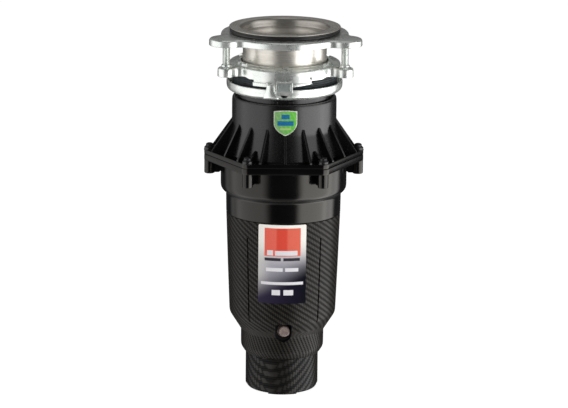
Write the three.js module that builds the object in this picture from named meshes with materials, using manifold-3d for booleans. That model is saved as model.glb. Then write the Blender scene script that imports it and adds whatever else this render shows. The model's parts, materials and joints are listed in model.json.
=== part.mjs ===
// A kitchen garbage disposal with a three-screw sink mount and a permanent magnet motor.
//
// Units are millimetres. +Z is up, the front (label and reset button) faces -Y, and the origin is
// the centre of the flat base. An azimuth is an angle about Z in degrees, counted from the front
// towards +X. Most pieces are turned about Z from a profile of [radius, height] points.
//
// Pieces that touch keep a small gap, so every solid is separate. Turned pieces are polygons with
// a corner at azimuth 0, so that nested pieces of the same number of sides keep an even gap.

import * as THREE from 'three';
import { mergeVertices } from 'three/addons/utils/BufferGeometryUtils.js';
import Module from 'manifold-3d';

const wasm = await Module();
wasm.setup();

// ---------------------------------------------------------------- driving dimensions

const GAP = 0.3; // between touching pieces
const SIDES = 30; // sides of the large turned pieces
const MIDDLE_SIDES = 24; // sides of the large turned pieces that are out of sight
const SMALL_SIDES = 16; // sides of the turned pieces round the shaft
const SCREW_SIDES = 8; // sides of screws and pins

// Joint planes between the large pieces, from the base up.
const CAP_TOP = 38.4;
const SHELL_TOP = 187.5;
const HOUSING_TOP = 247.6;
const HOPPER_TOP = 318.1;
const CUSHION_TOP = 342.5;
const MOUNT_PLATE_TOP = 345.4;
const SUPPORT_PLATE_TOP = 375.5;
const RIM_TOP = 381.1;

// Sink sleeve and rim.
const SLEEVE_RADIUS = 42.9;
const SLEEVE_BORE = 41.7;
const SLEEVE_BOTTOM = 326.1;
const RIM_RADIUS = 57;

// Three-screw mount: the screws stand at the front left, the front right and the back.
const SCREW_AZIMUTHS = [-60, 60, 180];
const SCREW_CIRCLE = 69.3;
const MOUNT_SCREW_RADIUS = 3.9;
const SHEET = 2.5; // thickness of both pressed plates
const LOCK_AZIMUTHS = [0, 120, 240]; // tabs of the lock ring and the ramps they hook over

// Hopper and grind housing.
const HOPPER_RADIUS = 53.6;
const HOPPER_BORE = 50.4;
const HOUSING_RADIUS = 64.8;
const CHAMBER_RADIUS = 61;
const RIB_COUNT = 18;
const CORNER_AZIMUTHS = [30, 90, 150, 210, 270, 330];
const CORNER_CIRCLE = 76.3; // centres of the six corner bosses
const CORNER_ROUNDING = 6;
const FLANGE_BOTTOM = 241.5;
const HOPPER_FLANGE_TOP = 252.5;
const OUTLET_HEIGHT = 207;
const OUTLET_FACE = 76; // distance of the outlet's flat face behind the axis
const OUTLET_SCREW_X = 27.5;

// Outer shell.
const SHELL_WALL = 2.5;
const SHELL_TOP_RADIUS = 58.8;
const SHELL_MIDDLE = 134.7; // height at which the shell's slope changes
const SHELL_MIDDLE_RADIUS = 57;
const SHELL_WAIST = 81.5; // height of the corner over the cone
const SHELL_WAIST_RADIUS = 54.9;
const GLAND_HEIGHT = 53;
const BUTTON_HEIGHT = 69.6;
const BUTTON_RADIUS = 6.2;

// Motor.
const SHAFT_RADIUS = 6;
const SHAFT_BORE = SHAFT_RADIUS + 0.35;
const BEARING_RADIUS = 15.95;
const BEARING_WIDTH = 10;
const LOWER_BEARING_BOTTOM = 79.3;
const UPPER_BEARING_BOTTOM = 176.3;
const CAN_BORE = 44.8;
const COMMUTATOR_RADIUS = 15;
const SLOT_COUNT = 12;
const IMPELLER_CIRCLE = 36; // centres of the impeller pins
const TURNTABLE_BOTTOM = 226.5;
const TURNTABLE_TOP = 229;

// ---------------------------------------------------------------- materials

const STAINLESS = { color: 0xb9b6ae, roughness: 0.25, metalness: 1 };
const ZINC = { color: 0xcfd2d0, roughness: 0.3, metalness: 1 };
const STEEL = { color: 0x9a9c9e, roughness: 0.35, metalness: 1 };
const DARK_STEEL = { color: 0x3a3b3d, roughness: 0.35, metalness: 1 };
const ALUMINIUM = { color: 0xb4b7ba, roughness: 0.45, metalness: 1 };
const RUBBER = { color: 0x1f2628, roughness: 0.75, metalness: 0 };
const GLOSS_BLACK = { color: 0x0c0c0d, roughness: 0.18, metalness: 0 };
const CARBON = { color: 0x2b2b2c, roughness: 0.35, metalness: 0 };
const BLACK_PLASTIC = { color: 0x18181a, roughness: 0.5, metalness: 0 };
const BUTTON_PLASTIC = { color: 0x9b8783, roughness: 0.4, metalness: 0 };
const LABEL_PRINT = { color: 0xa9a7b4, roughness: 0.35, metalness: 0 };
const BADGE_PRINT = { color: 0x5faa4a, roughness: 0.3, metalness: 0 };
const FOAM = { color: 0x4b4d50, roughness: 0.95, metalness: 0 };
const COPPER = { color: 0xb06a3b, roughness: 0.35, metalness: 1 };
const CARBON_BRUSH = { color: 0x2e2e30, roughness: 0.8, metalness: 0 };
const FERRITE = { color: 0x3d3d40, roughness: 0.7, metalness: 0 };
const CIRCUIT = { color: 0x2f6b3c, roughness: 0.5, metalness: 0 };

// ---------------------------------------------------------------- solids

const radians = THREE.MathUtils.degToRad;

/** A manifold solid from a closed geometry, with its faces turned outwards. */
function toSolid(geometry) {
  const bare = geometry.clone();
  bare.deleteAttribute('normal');
  bare.deleteAttribute('uv');
  const merged = mergeVertices(bare, 1e-4);
  const corners = merged.index.array;
  const kept = [];
  for (let i = 0; i < corners.length; i += 3) {
    const [a, b, c] = corners.slice(i, i + 3);
    if (a !== b && b !== c && c !== a) kept.push(a, b, c);
  }
  const vertProperties = merged.attributes.position.array;
  const build = (list) => {
    const triVerts = new Uint32Array(list);
    return new wasm.Manifold(new wasm.Mesh({ numProp: 3, vertProperties, triVerts }));
  };
  const solid = build(kept);
  return solid.volume() > 0 ? solid : build(kept.reverse());
}

function toGeometry(solid) {
  const { vertProperties, triVerts } = solid.getMesh();
  const geometry = new THREE.BufferGeometry();
  geometry.setAttribute('position', new THREE.BufferAttribute(vertProperties, 3));
  geometry.setIndex(new THREE.BufferAttribute(triVerts, 1));
  return geometry;
}

const join = (...bodies) => toGeometry(bodies.map(toSolid).reduce((a, b) => a.add(b)));
const cut = (body, ...tools) =>
  toGeometry(tools.map(toSolid).reduce((a, b) => a.subtract(b), toSolid(body)));
const common = (a, b) => toGeometry(toSolid(a).intersect(toSolid(b)));

/** Turns a profile of [radius, height] points about Z. The profile closes on itself. */
function turned(profile, sides = SIDES) {
  const points = [...profile, profile[0]].map(([r, z]) => new THREE.Vector2(r, z));
  return new THREE.LatheGeometry(points, sides).rotateX(Math.PI / 2);
}

const disc = (radius, bottom, top, sides) =>
  turned([[0, bottom], [radius, bottom], [radius, top], [0, top]], sides);
const ring = (bore, radius, bottom, top, sides) =>
  turned([[bore, bottom], [radius, bottom], [radius, top], [bore, top]], sides);

function box(x0, x1, y0, y1, z0, z1) {
  const geometry = new THREE.BoxGeometry(x1 - x0, y1 - y0, z1 - z0);
  return geometry.translate((x0 + x1) / 2, (y0 + y1) / 2, (z0 + z1) / 2);
}

/** An outline in the XY plane, standing from one height to another. */
function prism(shape, bottom, top, curveSegments = 6) {
  const options = { depth: top - bottom, bevelEnabled: false, curveSegments };
  return new THREE.ExtrudeGeometry(shape, options).translate(0, 0, bottom);
}

/** An outline drawn as seen from the front, between two distances in front of the axis. */
const facing = (shape, near, far) => prism(shape, near, far).rotateX(Math.PI / 2);

/** A plate in the front radial plane, from [radius, height] points. */
function fin(points, thickness) {
  const shape = new THREE.Shape(points.map(([r, z]) => new THREE.Vector2(r, z)));
  const plate = prism(shape, -thickness / 2, thickness / 2);
  return plate.rotateX(Math.PI / 2).rotateZ(-Math.PI / 2);
}

/** Turned about Z, then laid down so that its axis points back along +Y at a height. */
const laidBack = (geometry, height) => geometry.rotateX(-Math.PI / 2).translate(0, 0, height);

const atAzimuth = (geometry, azimuth) => geometry.clone().rotateZ(radians(azimuth));
const inFront = (geometry, distance) => geometry.translate(0, -distance, 0);

/** A sector of the plane between two azimuths, as tall as the whole object. */
function sector(from, to, radius = 120) {
  const steps = Math.ceil((to - from) / 30);
  const shape = new THREE.Shape();
  for (let i = 0; i <= steps; i++) {
    const angle = radians(from + ((to - from) * i) / steps);
    shape.lineTo(radius * Math.sin(angle), -radius * Math.cos(angle));
  }
  return prism(shape, -10, RIM_TOP + 10);
}

/** The outline round a set of [x, y, radius] circles, as if a band were stretched round them. */
function bandShape(circles, steps = 24) {
  const points = circles.flatMap(([x, y, r]) =>
    Array.from({ length: steps }, (_, i) => {
      const angle = (2 * Math.PI * (i + 0.5)) / steps;
      return new THREE.Vector2(x + r * Math.cos(angle), y + r * Math.sin(angle));
    }),
  );
  points.sort((a, b) => a.x - b.x || a.y - b.y);
  const turn = (a, b, c) => (b.x - a.x) * (c.y - a.y) - (b.y - a.y) * (c.x - a.x);
  const half = (list) => {
    const chain = [];
    for (const point of list) {
      while (chain.length > 1 && turn(chain.at(-2), chain.at(-1), point) <= 1e-9) chain.pop();
      chain.push(point);
    }
    return chain.slice(0, -1);
  };
  return new THREE.Shape([...half(points), ...half(points.toReversed())]);
}

/** A disc with one ear at each mount screw, the corners between them filled by round fillets. */
function earedShape(discRadius, earRadius, filletRadius) {
  const toFillet = discRadius + filletRadius;
  const earToFillet = earRadius + filletRadius;
  const cosine =
    (toFillet ** 2 + SCREW_CIRCLE ** 2 - earToFillet ** 2) / (2 * toFillet * SCREW_CIRCLE);
  const spread = Math.acos(cosine);
  const shape = new THREE.Shape();
  for (const azimuth of SCREW_AZIMUTHS) {
    const middle = radians(azimuth - 90);
    const ear = [SCREW_CIRCLE * Math.cos(middle), SCREW_CIRCLE * Math.sin(middle)];
    const fillet = (side) => [
      toFillet * Math.cos(middle + side * spread),
      toFillet * Math.sin(middle + side * spread),
    ];
    const towards = (from, to) => Math.atan2(to[1] - from[1], to[0] - from[0]);
    const [before, after] = [fillet(-1), fillet(1)];
    const { PI } = Math;
    shape.absarc(...before, filletRadius, middle - spread + PI, towards(before, ear), true);
    shape.absarc(...ear, earRadius, towards(ear, before), towards(ear, after), false);
    shape.absarc(...after, filletRadius, towards(after, ear), middle + spread + PI, true);
    shape.absarc(0, 0, discRadius, middle + spread, middle + radians(120) - spread, false);
  }
  return shape;
}

// ---------------------------------------------------------------- assembly

const disposal = new THREE.Group();
const sinkMount = new THREE.Group();
const grinder = new THREE.Group();
const outlet = new THREE.Group();
const motor = new THREE.Group();
const casing = new THREE.Group();
disposal.add(sinkMount, grinder, outlet, motor, casing);

function place(group, name, geometry, look) {
  const mesh = new THREE.Mesh(geometry, new THREE.MeshStandardMaterial(look));
  mesh.name = name;
  group.add(mesh);
  return mesh;
}

// ---------------------------------------------------------------- sink mount

const RIM_UNDERSIDE = 379.2;

/** One pressed sheet: a dished rim, a rounded throat, and a sleeve with a groove near its foot. */
function sinkFlange() {
  const grooveTop = 342.2;
  const grooveBottom = 340;
  const grooveRadius = 42.3;
  return turned([
    [SLEEVE_BORE, SLEEVE_BOTTOM],
    [SLEEVE_RADIUS, SLEEVE_BOTTOM],
    [SLEEVE_RADIUS, grooveBottom],
    [grooveRadius, grooveBottom],
    [grooveRadius, grooveTop],
    [SLEEVE_RADIUS, grooveTop],
    [SLEEVE_RADIUS, 373],
    [44.4, 376.2],
    [47.5, RIM_UNDERSIDE],
    [RIM_RADIUS - 0.4, RIM_UNDERSIDE],
    [RIM_RADIUS, 379.8],
    [RIM_RADIUS - 0.3, 380.7],
    [RIM_RADIUS - 1.5, RIM_TOP],
    [48.5, 380.2],
    [45.6, 378.9],
    [43.1, 376.2],
    [SLEEVE_BORE, 373],
  ]);
}

/** The upper plate: its skirt hangs from the rim of the outline, and the screws push under it. */
function supportFlange() {
  const outer = earedShape(65.3, 17.5, 12);
  const inner = earedShape(63.1, 15.3, 14.2);
  const skirtBottom = 368;
  return cut(
    prism(outer, skirtBottom, SUPPORT_PLATE_TOP),
    prism(inner, skirtBottom - 1, SUPPORT_PLATE_TOP - SHEET),
    disc(46.5, skirtBottom - 1, SUPPORT_PLATE_TOP + 1),
  );
}

/** The lower plate: ears with threaded collars, a skirt, and three deeper ramps with a lip. */
function mountingFlange() {
  const skirtBottom = 336.5;
  const rampBottom = 331;
  const outer = earedShape(57, 8.8, 10);
  const inner = earedShape(55, 6.8, 12);
  const plate = cut(
    prism(outer, skirtBottom, MOUNT_PLATE_TOP, 4),
    prism(inner, skirtBottom - 1, MOUNT_PLATE_TOP - SHEET, 4),
  );
  const apron = turned([
    [55, rampBottom],
    [58.7, rampBottom],
    [58.7, rampBottom + 1.3],
    [57, rampBottom + 1.3],
    [57, skirtBottom + 1],
    [55, skirtBottom + 1],
  ]);
  const ramp = common(apron, sector(-32, 27));
  const collar = inFront(disc(4.9, MOUNT_PLATE_TOP - 1, 347.9, SMALL_SIDES), SCREW_CIRCLE);
  const hole = inFront(disc(4.3, rampBottom, 350, SMALL_SIDES), SCREW_CIRCLE);
  const centreRing = ring(SLEEVE_RADIUS, 46.6, MOUNT_PLATE_TOP - 1, 347);
  return cut(
    join(
      plate,
      centreRing,
      ...LOCK_AZIMUTHS.map((azimuth) => atAzimuth(ramp, azimuth)),
      ...SCREW_AZIMUTHS.map((azimuth) => atAzimuth(collar, azimuth)),
    ),
    disc(SLEEVE_RADIUS + 0.4, rampBottom, 350),
    ...SCREW_AZIMUTHS.map((azimuth) => atAzimuth(hole, azimuth)),
  );
}

/** A threaded rod with a screwdriver slot in its lower end; its tip bears on the upper plate. */
function mountScrew() {
  const bottom = 336.8;
  const tip = SUPPORT_PLATE_TOP - SHEET - GAP;
  const rod = disc(MOUNT_SCREW_RADIUS, bottom, tip, SCREW_SIDES);
  return cut(rod, box(-5, 5, -0.6, 0.6, bottom - 1, bottom + 2));
}

/** A dished ring that carries the hopper's bead, with three hooked tabs and three lever ears. */
function lockRing() {
  const dish = turned([
    [47.7, 313],
    [52, 313],
    [56.5, 314.5],
    [58.8, 317],
    [59.4, 320],
    [59.4, 323.6],
    [58.9, 324.3],
    [57.6, 324.3],
    [57.6, 318.6],
    [55.8, 316.2],
    [52, 314.7],
    [47.7, 314.7],
  ]);
  const tab = fin(
    [
      [58.4, 320],
      [60.2, 319.5],
      [61.2, 321],
      [61.2, 335.3],
      [58.1, 335.3],
      [58.1, 333.6],
      [59.7, 333.6],
      [59.7, 324.4],
      [58.4, 323.8],
    ],
    16,
  );
  const leverEar = fin(
    [
      [58.4, 320],
      [60.6, 319.6],
      [62.6, 322],
      [63.2, 327],
      [62.4, 331.2],
      [60.8, 332.4],
      [59.6, 331.2],
      [59.6, 324.4],
      [58.4, 323.8],
    ],
    11,
  );
  const earAzimuth = -16;
  return join(
    dish,
    ...LOCK_AZIMUTHS.map((azimuth) => atAzimuth(tab, azimuth)),
    ...LOCK_AZIMUTHS.map((azimuth) => atAzimuth(leverEar, azimuth + earAzimuth)),
  );
}

/** The rubber collar that seals sleeve to hopper; its inner ledge carries the splash guard. */
function cushionMount() {
  const ledge = 325.8;
  return turned([
    [37.8, HOPPER_TOP + 0.4],
    [53.8, HOPPER_TOP + 0.4],
    [53.8, CUSHION_TOP - 2],
    [52, CUSHION_TOP],
    [45.4, CUSHION_TOP],
    [45.4, 339.6],
    [SLEEVE_RADIUS + 0.5, 339.6],
    [SLEEVE_RADIUS + 0.5, ledge],
    [37.8, ledge],
  ]);
}

/** A dished rubber baffle with a centre hole, slit into flaps. */
function splashGuard() {
  const flaps = 8;
  const baffle = turned(
    [
      [14, 320.6],
      [36.4, 324.4],
      [37.2, SLEEVE_BOTTOM],
      [41, SLEEVE_BOTTOM],
      [41, 329],
      [39, 329],
      [36.2, 326.3],
      [14, 322.4],
    ],
    SMALL_SIDES,
  );
  const slit = box(-0.5, 0.5, -33, -10, 318, 332);
  const slits = Array.from({ length: flaps }, (_, i) => atAzimuth(slit, ((i + 0.5) * 360) / flaps));
  return cut(baffle, ...slits);
}

place(sinkMount, 'sink_flange', sinkFlange(), STAINLESS);
place(
  sinkMount,
  'sink_gasket',
  ring(48.2, 55.6, SUPPORT_PLATE_TOP + GAP, RIM_UNDERSIDE - GAP),
  RUBBER,
);
place(sinkMount, 'support_flange', supportFlange(), ZINC);
place(sinkMount, 'mounting_flange', mountingFlange(), ZINC);
SCREW_AZIMUTHS.forEach((azimuth, i) => {
  const screw = place(sinkMount, `mount_screw_${i + 1}`, mountScrew(), ZINC);
  const angle = radians(azimuth);
  screw.position.set(SCREW_CIRCLE * Math.sin(angle), -SCREW_CIRCLE * Math.cos(angle), 0);
});
place(
  sinkMount,
  'snap_ring',
  cut(ring(42.6, 44.6, 340.3, 341.9), box(-3, 3, 30, 60, 330, 350)),
  STEEL,
);
place(sinkMount, 'lock_ring', lockRing(), ZINC);
place(sinkMount, 'cushion_mount', cushionMount(), RUBBER);
place(sinkMount, 'splash_guard', splashGuard(), RUBBER);

// ---------------------------------------------------------------- grinding section

const hexagonShape = bandShape(
  CORNER_AZIMUTHS.map((azimuth) => [
    CORNER_CIRCLE * Math.sin(radians(azimuth)),
    -CORNER_CIRCLE * Math.cos(radians(azimuth)),
    CORNER_ROUNDING,
  ]),
  12,
);
const atCorners = (geometry) => CORNER_AZIMUTHS.map((azimuth) => atAzimuth(geometry, azimuth));
const screwHole = inFront(disc(2.8, 233, 262, SCREW_SIDES), CORNER_CIRCLE);

/** How far out the hexagonal flange reaches at an azimuth, less a small edge. */
function flangeReach(azimuth) {
  const apothem = CORNER_CIRCLE * Math.cos(radians(30)) + CORNER_ROUNDING - 1;
  const fromEdge = ((azimuth + 30) % 60) - 30;
  return apothem / Math.cos(radians(fromEdge));
}

/** The stiffening ribs run from the hopper's wall down to the flange's edge. */
function hopperRibs() {
  return Array.from({ length: RIB_COUNT }, (_, i) => {
    const azimuth = (i * 360) / RIB_COUNT;
    const top = azimuth === 0 ? 277.4 : 284; // the front rib stops under the badge
    const foot = flangeReach(azimuth);
    const plate = fin(
      [
        [60.8, 252],
        [foot, 252],
        [foot, 253.4],
        [54.2, top],
        [52.4, top],
        [52.4, 276.8],
      ],
      2.4,
    );
    return atAzimuth(plate, azimuth);
  });
}

function hopper() {
  const body = turned([
    [58.2, HOUSING_TOP + GAP],
    [62.5, HOUSING_TOP + GAP],
    [62.2, HOPPER_FLANGE_TOP],
    [HOPPER_RADIUS, 277.5],
    [HOPPER_RADIUS, 305.4],
    [52.7, 308.6],
    [50.6, 310.8],
    [47.5, 311.3],
    [47, 312],
    [47, 315],
    [51, 315],
    [51, HOPPER_TOP],
    [42, HOPPER_TOP],
    [42, 309.2],
    [HOPPER_BORE, 303.5],
    [HOPPER_BORE, 278],
    [58.2, 254],
  ]);
  const flange = cut(
    prism(hexagonShape, HOUSING_TOP + GAP, HOPPER_FLANGE_TOP),
    disc(60, HOUSING_TOP - 1, HOPPER_FLANGE_TOP + 1),
  );
  const collar = inFront(disc(6, HOPPER_FLANGE_TOP - 1, 256, SCREW_SIDES), CORNER_CIRCLE);
  const gusset = fin([[58.6, 252], [72, 252], [72, 255.5], [60.6, 262], [58.2, 262]], 2.4);
  const spigotHeight = 294;
  const spigot = laidBack(
    turned(
      [[0, 51.5], [10.5, 51.5], [10.5, 72], [11.4, 74], [11.4, 75], [10.2, 78], [0, 78]],
      SMALL_SIDES,
    ),
    spigotHeight,
  );
  const spigotBore = laidBack(disc(8, 56, 80, SCREW_SIDES), spigotHeight);
  return cut(
    join(body, flange, ...hopperRibs(), ...atCorners(collar), ...atCorners(gusset), spigot),
    spigotBore,
    ...atCorners(screwHole),
  );
}

const outletShape = bandShape([
  [0, 0, 22.5],
  [-OUTLET_SCREW_X, 0, 6.5],
  [OUTLET_SCREW_X, 0, 6.5],
]);
/** An outline round the outlet's axis, between two distances behind the axis. */
const behind = (shape, near, far) =>
  prism(shape, near, far).rotateX(-Math.PI / 2).translate(0, 0, OUTLET_HEIGHT);
const onOutletAxis = (geometry) => laidBack(geometry, OUTLET_HEIGHT);

/** The lower chamber: a cup with the upper bearing's hub in its floor and the outlet behind. */
function grindHousing() {
  const bottom = SHELL_TOP + GAP;
  const ledge = 221.7;
  const floor = 192;
  const pocket = BEARING_RADIUS + 0.35;
  const body = turned([
    [pocket, 176],
    [20, 176],
    [20, bottom + 0.7],
    [55.8, bottom + 0.7],
    [56.4, bottom],
    [58.9, bottom],
    [59.3, 205],
    [60.2, 207],
    [63.4, 209.6],
    [64.6, 211.8],
    [HOUSING_RADIUS, 214.5],
    [HOUSING_RADIUS, HOUSING_TOP],
    [CHAMBER_RADIUS, HOUSING_TOP],
    [CHAMBER_RADIUS, ledge],
    [57, ledge],
    [57, 211],
    [55.3, 206],
    [55.3, floor + 1.5],
    [53.8, floor],
    [16, floor],
    [14.5, floor + 1],
    [14.5, 200],
    [11.3, 200],
    [11.3, 193.6],
    [6.8, 193.6],
    [6.8, 186.6],
    [pocket, 186.6],
  ]);
  const flange = cut(
    prism(hexagonShape, FLANGE_BOTTOM, HOUSING_TOP),
    disc(63, FLANGE_BOTTOM - 1, HOUSING_TOP + 1),
  );
  const columnBottom = 229;
  const column = inFront(disc(4.8, columnBottom, 242, SCREW_SIDES), CORNER_CIRCLE);
  const web = fin(
    [[63.6, 236], [68, columnBottom + 0.5], [76, columnBottom + 0.5], [76, 242], [63.6, 242]],
    4,
  );
  // The outlet's block starts inside the wall, and stays clear of the chamber and the shell.
  const chamber = turned([
    [0, 170],
    [60, 170],
    [60, bottom + 0.1],
    [57.5, bottom + 0.1],
    [57.5, 213],
    [59.5, 213],
    [59.5, ledge - 0.7],
    [62.5, ledge - 0.7],
    [62.5, 250],
    [0, 250],
  ]);
  const block = cut(behind(outletShape, 40, OUTLET_FACE), chamber);
  const passage = onOutletAxis(disc(14.2, 50, OUTLET_FACE + 1, SMALL_SIDES));
  const elbowScrewHole = onOutletAxis(disc(2.6, 61, OUTLET_FACE + 1, SCREW_SIDES));
  const sealGroove = ring(62, 65.4, HOUSING_TOP - 1.6, HOUSING_TOP + 1);
  return cut(
    join(body, flange, ...atCorners(column), ...atCorners(web), block),
    passage,
    sealGroove,
    elbowScrewHole.clone().translate(-OUTLET_SCREW_X, 0, 0),
    elbowScrewHole.clone().translate(OUTLET_SCREW_X, 0, 0),
    ...atCorners(screwHole),
  );
}

/** A pan head screw with a slot, standing in its boss. */
function housingScrew() {
  const seat = 256 + GAP;
  const body = turned(
    [
      [0, 234],
      [2.4, 234],
      [2.4, seat],
      [3.9, seat],
      [3.9, seat + 3],
      [2.8, seat + 4.4],
      [0, seat + 4.4],
    ],
    SCREW_SIDES,
  );
  return cut(body, box(-5, 5, -0.5, 0.5, seat + 2.8, seat + 6));
}

/** A hardened ring with notches in its lower edge, against which the food is ground. */
function shredderRing() {
  const notches = 18;
  const bottom = 222;
  const notch = box(-2.5, 2.5, -65, -50, bottom - 1, bottom + 12);
  return cut(
    ring(57.4, CHAMBER_RADIUS - 0.4, bottom, HOUSING_TOP - 0.1),
    ...Array.from({ length: notches }, (_, i) => atAzimuth(notch, (i * 360) / notches)),
  );
}

function turntable() {
  const plate = turned([
    [SHAFT_BORE, 203],
    [12, 203],
    [12, TURNTABLE_BOTTOM - 3],
    [15, TURNTABLE_BOTTOM],
    [56, TURNTABLE_BOTTOM],
    [56, TURNTABLE_TOP],
    [SHAFT_BORE, TURNTABLE_TOP],
  ]);
  const pinHole = disc(3.35, 220, 235, SCREW_SIDES);
  const drain = disc(3, 220, 235, SCREW_SIDES);
  const drains = [0, 180].flatMap((azimuth) => [
    atAzimuth(inFront(drain.clone(), 24), azimuth),
    atAzimuth(inFront(drain.clone(), 40), azimuth),
  ]);
  return cut(
    plate,
    pinHole.clone().translate(IMPELLER_CIRCLE, 0, 0),
    pinHole.clone().translate(-IMPELLER_CIRCLE, 0, 0),
    ...drains,
  );
}

/** A swivelling lug: a foot round the pin and a hammer block at its far end. Its pin is at 0, 0. */
function impeller() {
  const bottom = TURNTABLE_TOP + GAP;
  const foot = prism(bandShape([[0, 0, 8], [0, -9, 7]], 16), bottom, bottom + 3);
  const hammer = prism(bandShape([[-3, -12, 4], [3, -12, 4], [0, -12.5, 4]], 12), bottom, 244);
  return cut(join(foot, hammer), disc(3.35, bottom - 1, bottom + 5, SCREW_SIDES));
}

/** The impeller's rivet: a shank with a head under the turntable and one over the impeller. */
function impellerPin() {
  const underHead = TURNTABLE_BOTTOM - GAP;
  const overHead = TURNTABLE_TOP + GAP + 3 + GAP;
  return turned(
    [
      [0, underHead - 2],
      [5, underHead - 2],
      [5, underHead],
      [2.8, underHead],
      [2.8, overHead],
      [5, overHead],
      [4.2, overHead + 2],
      [0, overHead + 2],
    ],
    SCREW_SIDES,
  );
}

/** A hexagonal cap nut, closed over the shaft's end. */
function turntableNut() {
  const bottom = TURNTABLE_TOP + GAP;
  const hexagon = disc(9.8, bottom, bottom + 7, 6);
  const dome = turned([[0, bottom], [8, bottom], [8, 239], [5, 242], [0, 243]], SCREW_SIDES);
  return cut(join(hexagon, dome), disc(SHAFT_BORE, bottom - 1, 236.6, SMALL_SIDES));
}

place(grinder, 'hopper', hopper(), GLOSS_BLACK);
place(grinder, 'grind_housing', grindHousing(), GLOSS_BLACK);
place(
  grinder,
  'housing_gasket',
  ring(62.3, 65.1, HOUSING_TOP - 1.3, HOUSING_TOP),
  RUBBER,
);
CORNER_AZIMUTHS.forEach((azimuth, i) => {
  const screw = place(grinder, `housing_screw_${i + 1}`, housingScrew(), DARK_STEEL);
  const angle = radians(azimuth);
  screw.position.set(CORNER_CIRCLE * Math.sin(angle), -CORNER_CIRCLE * Math.cos(angle), 0);
});
place(grinder, 'shredder_ring', shredderRing(), STAINLESS);
place(grinder, 'turntable', turntable(), STAINLESS);
place(grinder, 'turntable_nut', turntableNut(), STAINLESS);
[1, -1].forEach((side, i) => {
  const lug = place(grinder, `impeller_${i + 1}`, impeller(), STAINLESS);
  lug.position.x = side * IMPELLER_CIRCLE;
  lug.rotation.z = side > 0 ? 0 : Math.PI;
  const pin = place(grinder, `impeller_pin_${i + 1}`, impellerPin(), STAINLESS);
  pin.position.x = side * IMPELLER_CIRCLE;
});
place(grinder, 'shaft_seal', ring(6.7, 11, 193.9, 199.8, SMALL_SIDES), RUBBER);

// ---------------------------------------------------------------- outlet

const ELBOW_RADIUS = 19;
const ELBOW_BORE = 16.2;
const ELBOW_FLANGE_BACK = 81.9;

/**
 * The centre line of the outlet elbow: straight back, a quarter bend, then straight down. It runs
 * from a start and a bend start, distances behind the axis, to an end height.
 */
class ElbowLine extends THREE.Curve {
  constructor(start, bendStart, bendRadius, end) {
    super();
    this.start = start;
    this.bendStart = bendStart;
    this.bendRadius = bendRadius;
    this.lengths = [
      bendStart - start,
      (bendRadius * Math.PI) / 2,
      OUTLET_HEIGHT - bendRadius - end,
    ];
  }

  getPoint(t, target = new THREE.Vector3()) {
    const [lead, bend, drop] = this.lengths;
    const along = t * (lead + bend + drop);
    const { start, bendStart, bendRadius } = this;
    if (along <= lead) return target.set(0, start + along, OUTLET_HEIGHT);
    if (along >= lead + bend) {
      const bendFoot = OUTLET_HEIGHT - bendRadius;
      return target.set(0, bendStart + bendRadius, bendFoot - (along - lead - bend));
    }
    const angle = (along - lead) / bendRadius;
    const back = bendStart + bendRadius * Math.sin(angle);
    return target.set(0, back, OUTLET_HEIGHT - bendRadius * (1 - Math.cos(angle)));
  }
}

function dischargeElbow() {
  const flangeFront = 79.1;
  const section = new THREE.Shape().absarc(0, 0, ELBOW_RADIUS, 0, 2 * Math.PI, false);
  section.holes.push(new THREE.Path().absarc(0, 0, ELBOW_BORE, 0, 2 * Math.PI, true));
  const extrudePath = new ElbowLine(flangeFront, 86, 28, 158);
  const pipe = new THREE.ExtrudeGeometry(section, { steps: 10, curveSegments: 6, extrudePath });
  const flange = onOutletAxis(
    ring(ELBOW_BORE + 0.5, 22.3, flangeFront, ELBOW_FLANGE_BACK, SMALL_SIDES),
  );
  return join(pipe, flange);
}

function elbowClampFlange() {
  const front = ELBOW_FLANGE_BACK + GAP;
  const screwHole = onOutletAxis(disc(2.6, front - 1, front + 4, SCREW_SIDES));
  return cut(
    behind(outletShape, front, front + 2.5),
    onOutletAxis(disc(ELBOW_RADIUS + 0.9, front - 1, front + 4, SMALL_SIDES)),
    screwHole.clone().translate(-OUTLET_SCREW_X, 0, 0),
    screwHole.clone().translate(OUTLET_SCREW_X, 0, 0),
  );
}

function elbowScrew() {
  const seat = ELBOW_FLANGE_BACK + GAP + 2.5 + GAP;
  return onOutletAxis(
    turned(
      [
        [0, 62],
        [2.2, 62],
        [2.2, seat],
        [4.6, seat],
        [4.6, seat + 2],
        [3.2, seat + 3.2],
        [0, seat + 3.2],
      ],
      SCREW_SIDES,
    ),
  );
}

place(
  outlet,
  'elbow_gasket',
  onOutletAxis(ring(16.4, 22, OUTLET_FACE + GAP, 78.8, SMALL_SIDES)),
  RUBBER,
);
place(outlet, 'discharge_elbow', dischargeElbow(), BLACK_PLASTIC);
place(outlet, 'elbow_clamp_flange', elbowClampFlange(), ZINC);
[1, -1].forEach((side, i) => {
  const screw = place(outlet, `elbow_screw_${i + 1}`, elbowScrew(), STEEL);
  screw.position.x = side * OUTLET_SCREW_X;
});

// ---------------------------------------------------------------- motor

const CORE_BOTTOM = 127;
const CORE_TOP = 167;
const BRUSH_BOTTOM = 100;
const BRUSH_TOP = 112;
const HOLDER_END = 43.5;

/** The laminated core, with one closed slot for each coil. */
function armatureCore() {
  const slot = box(-3, 3, -33, -20, CORE_BOTTOM - 1, CORE_TOP + 1);
  return cut(
    ring(SHAFT_BORE, 34.8, CORE_BOTTOM, CORE_TOP, SMALL_SIDES),
    ...Array.from({ length: SLOT_COUNT }, (_, i) => atAzimuth(slot, (i * 360) / SLOT_COUNT)),
  );
}

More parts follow.
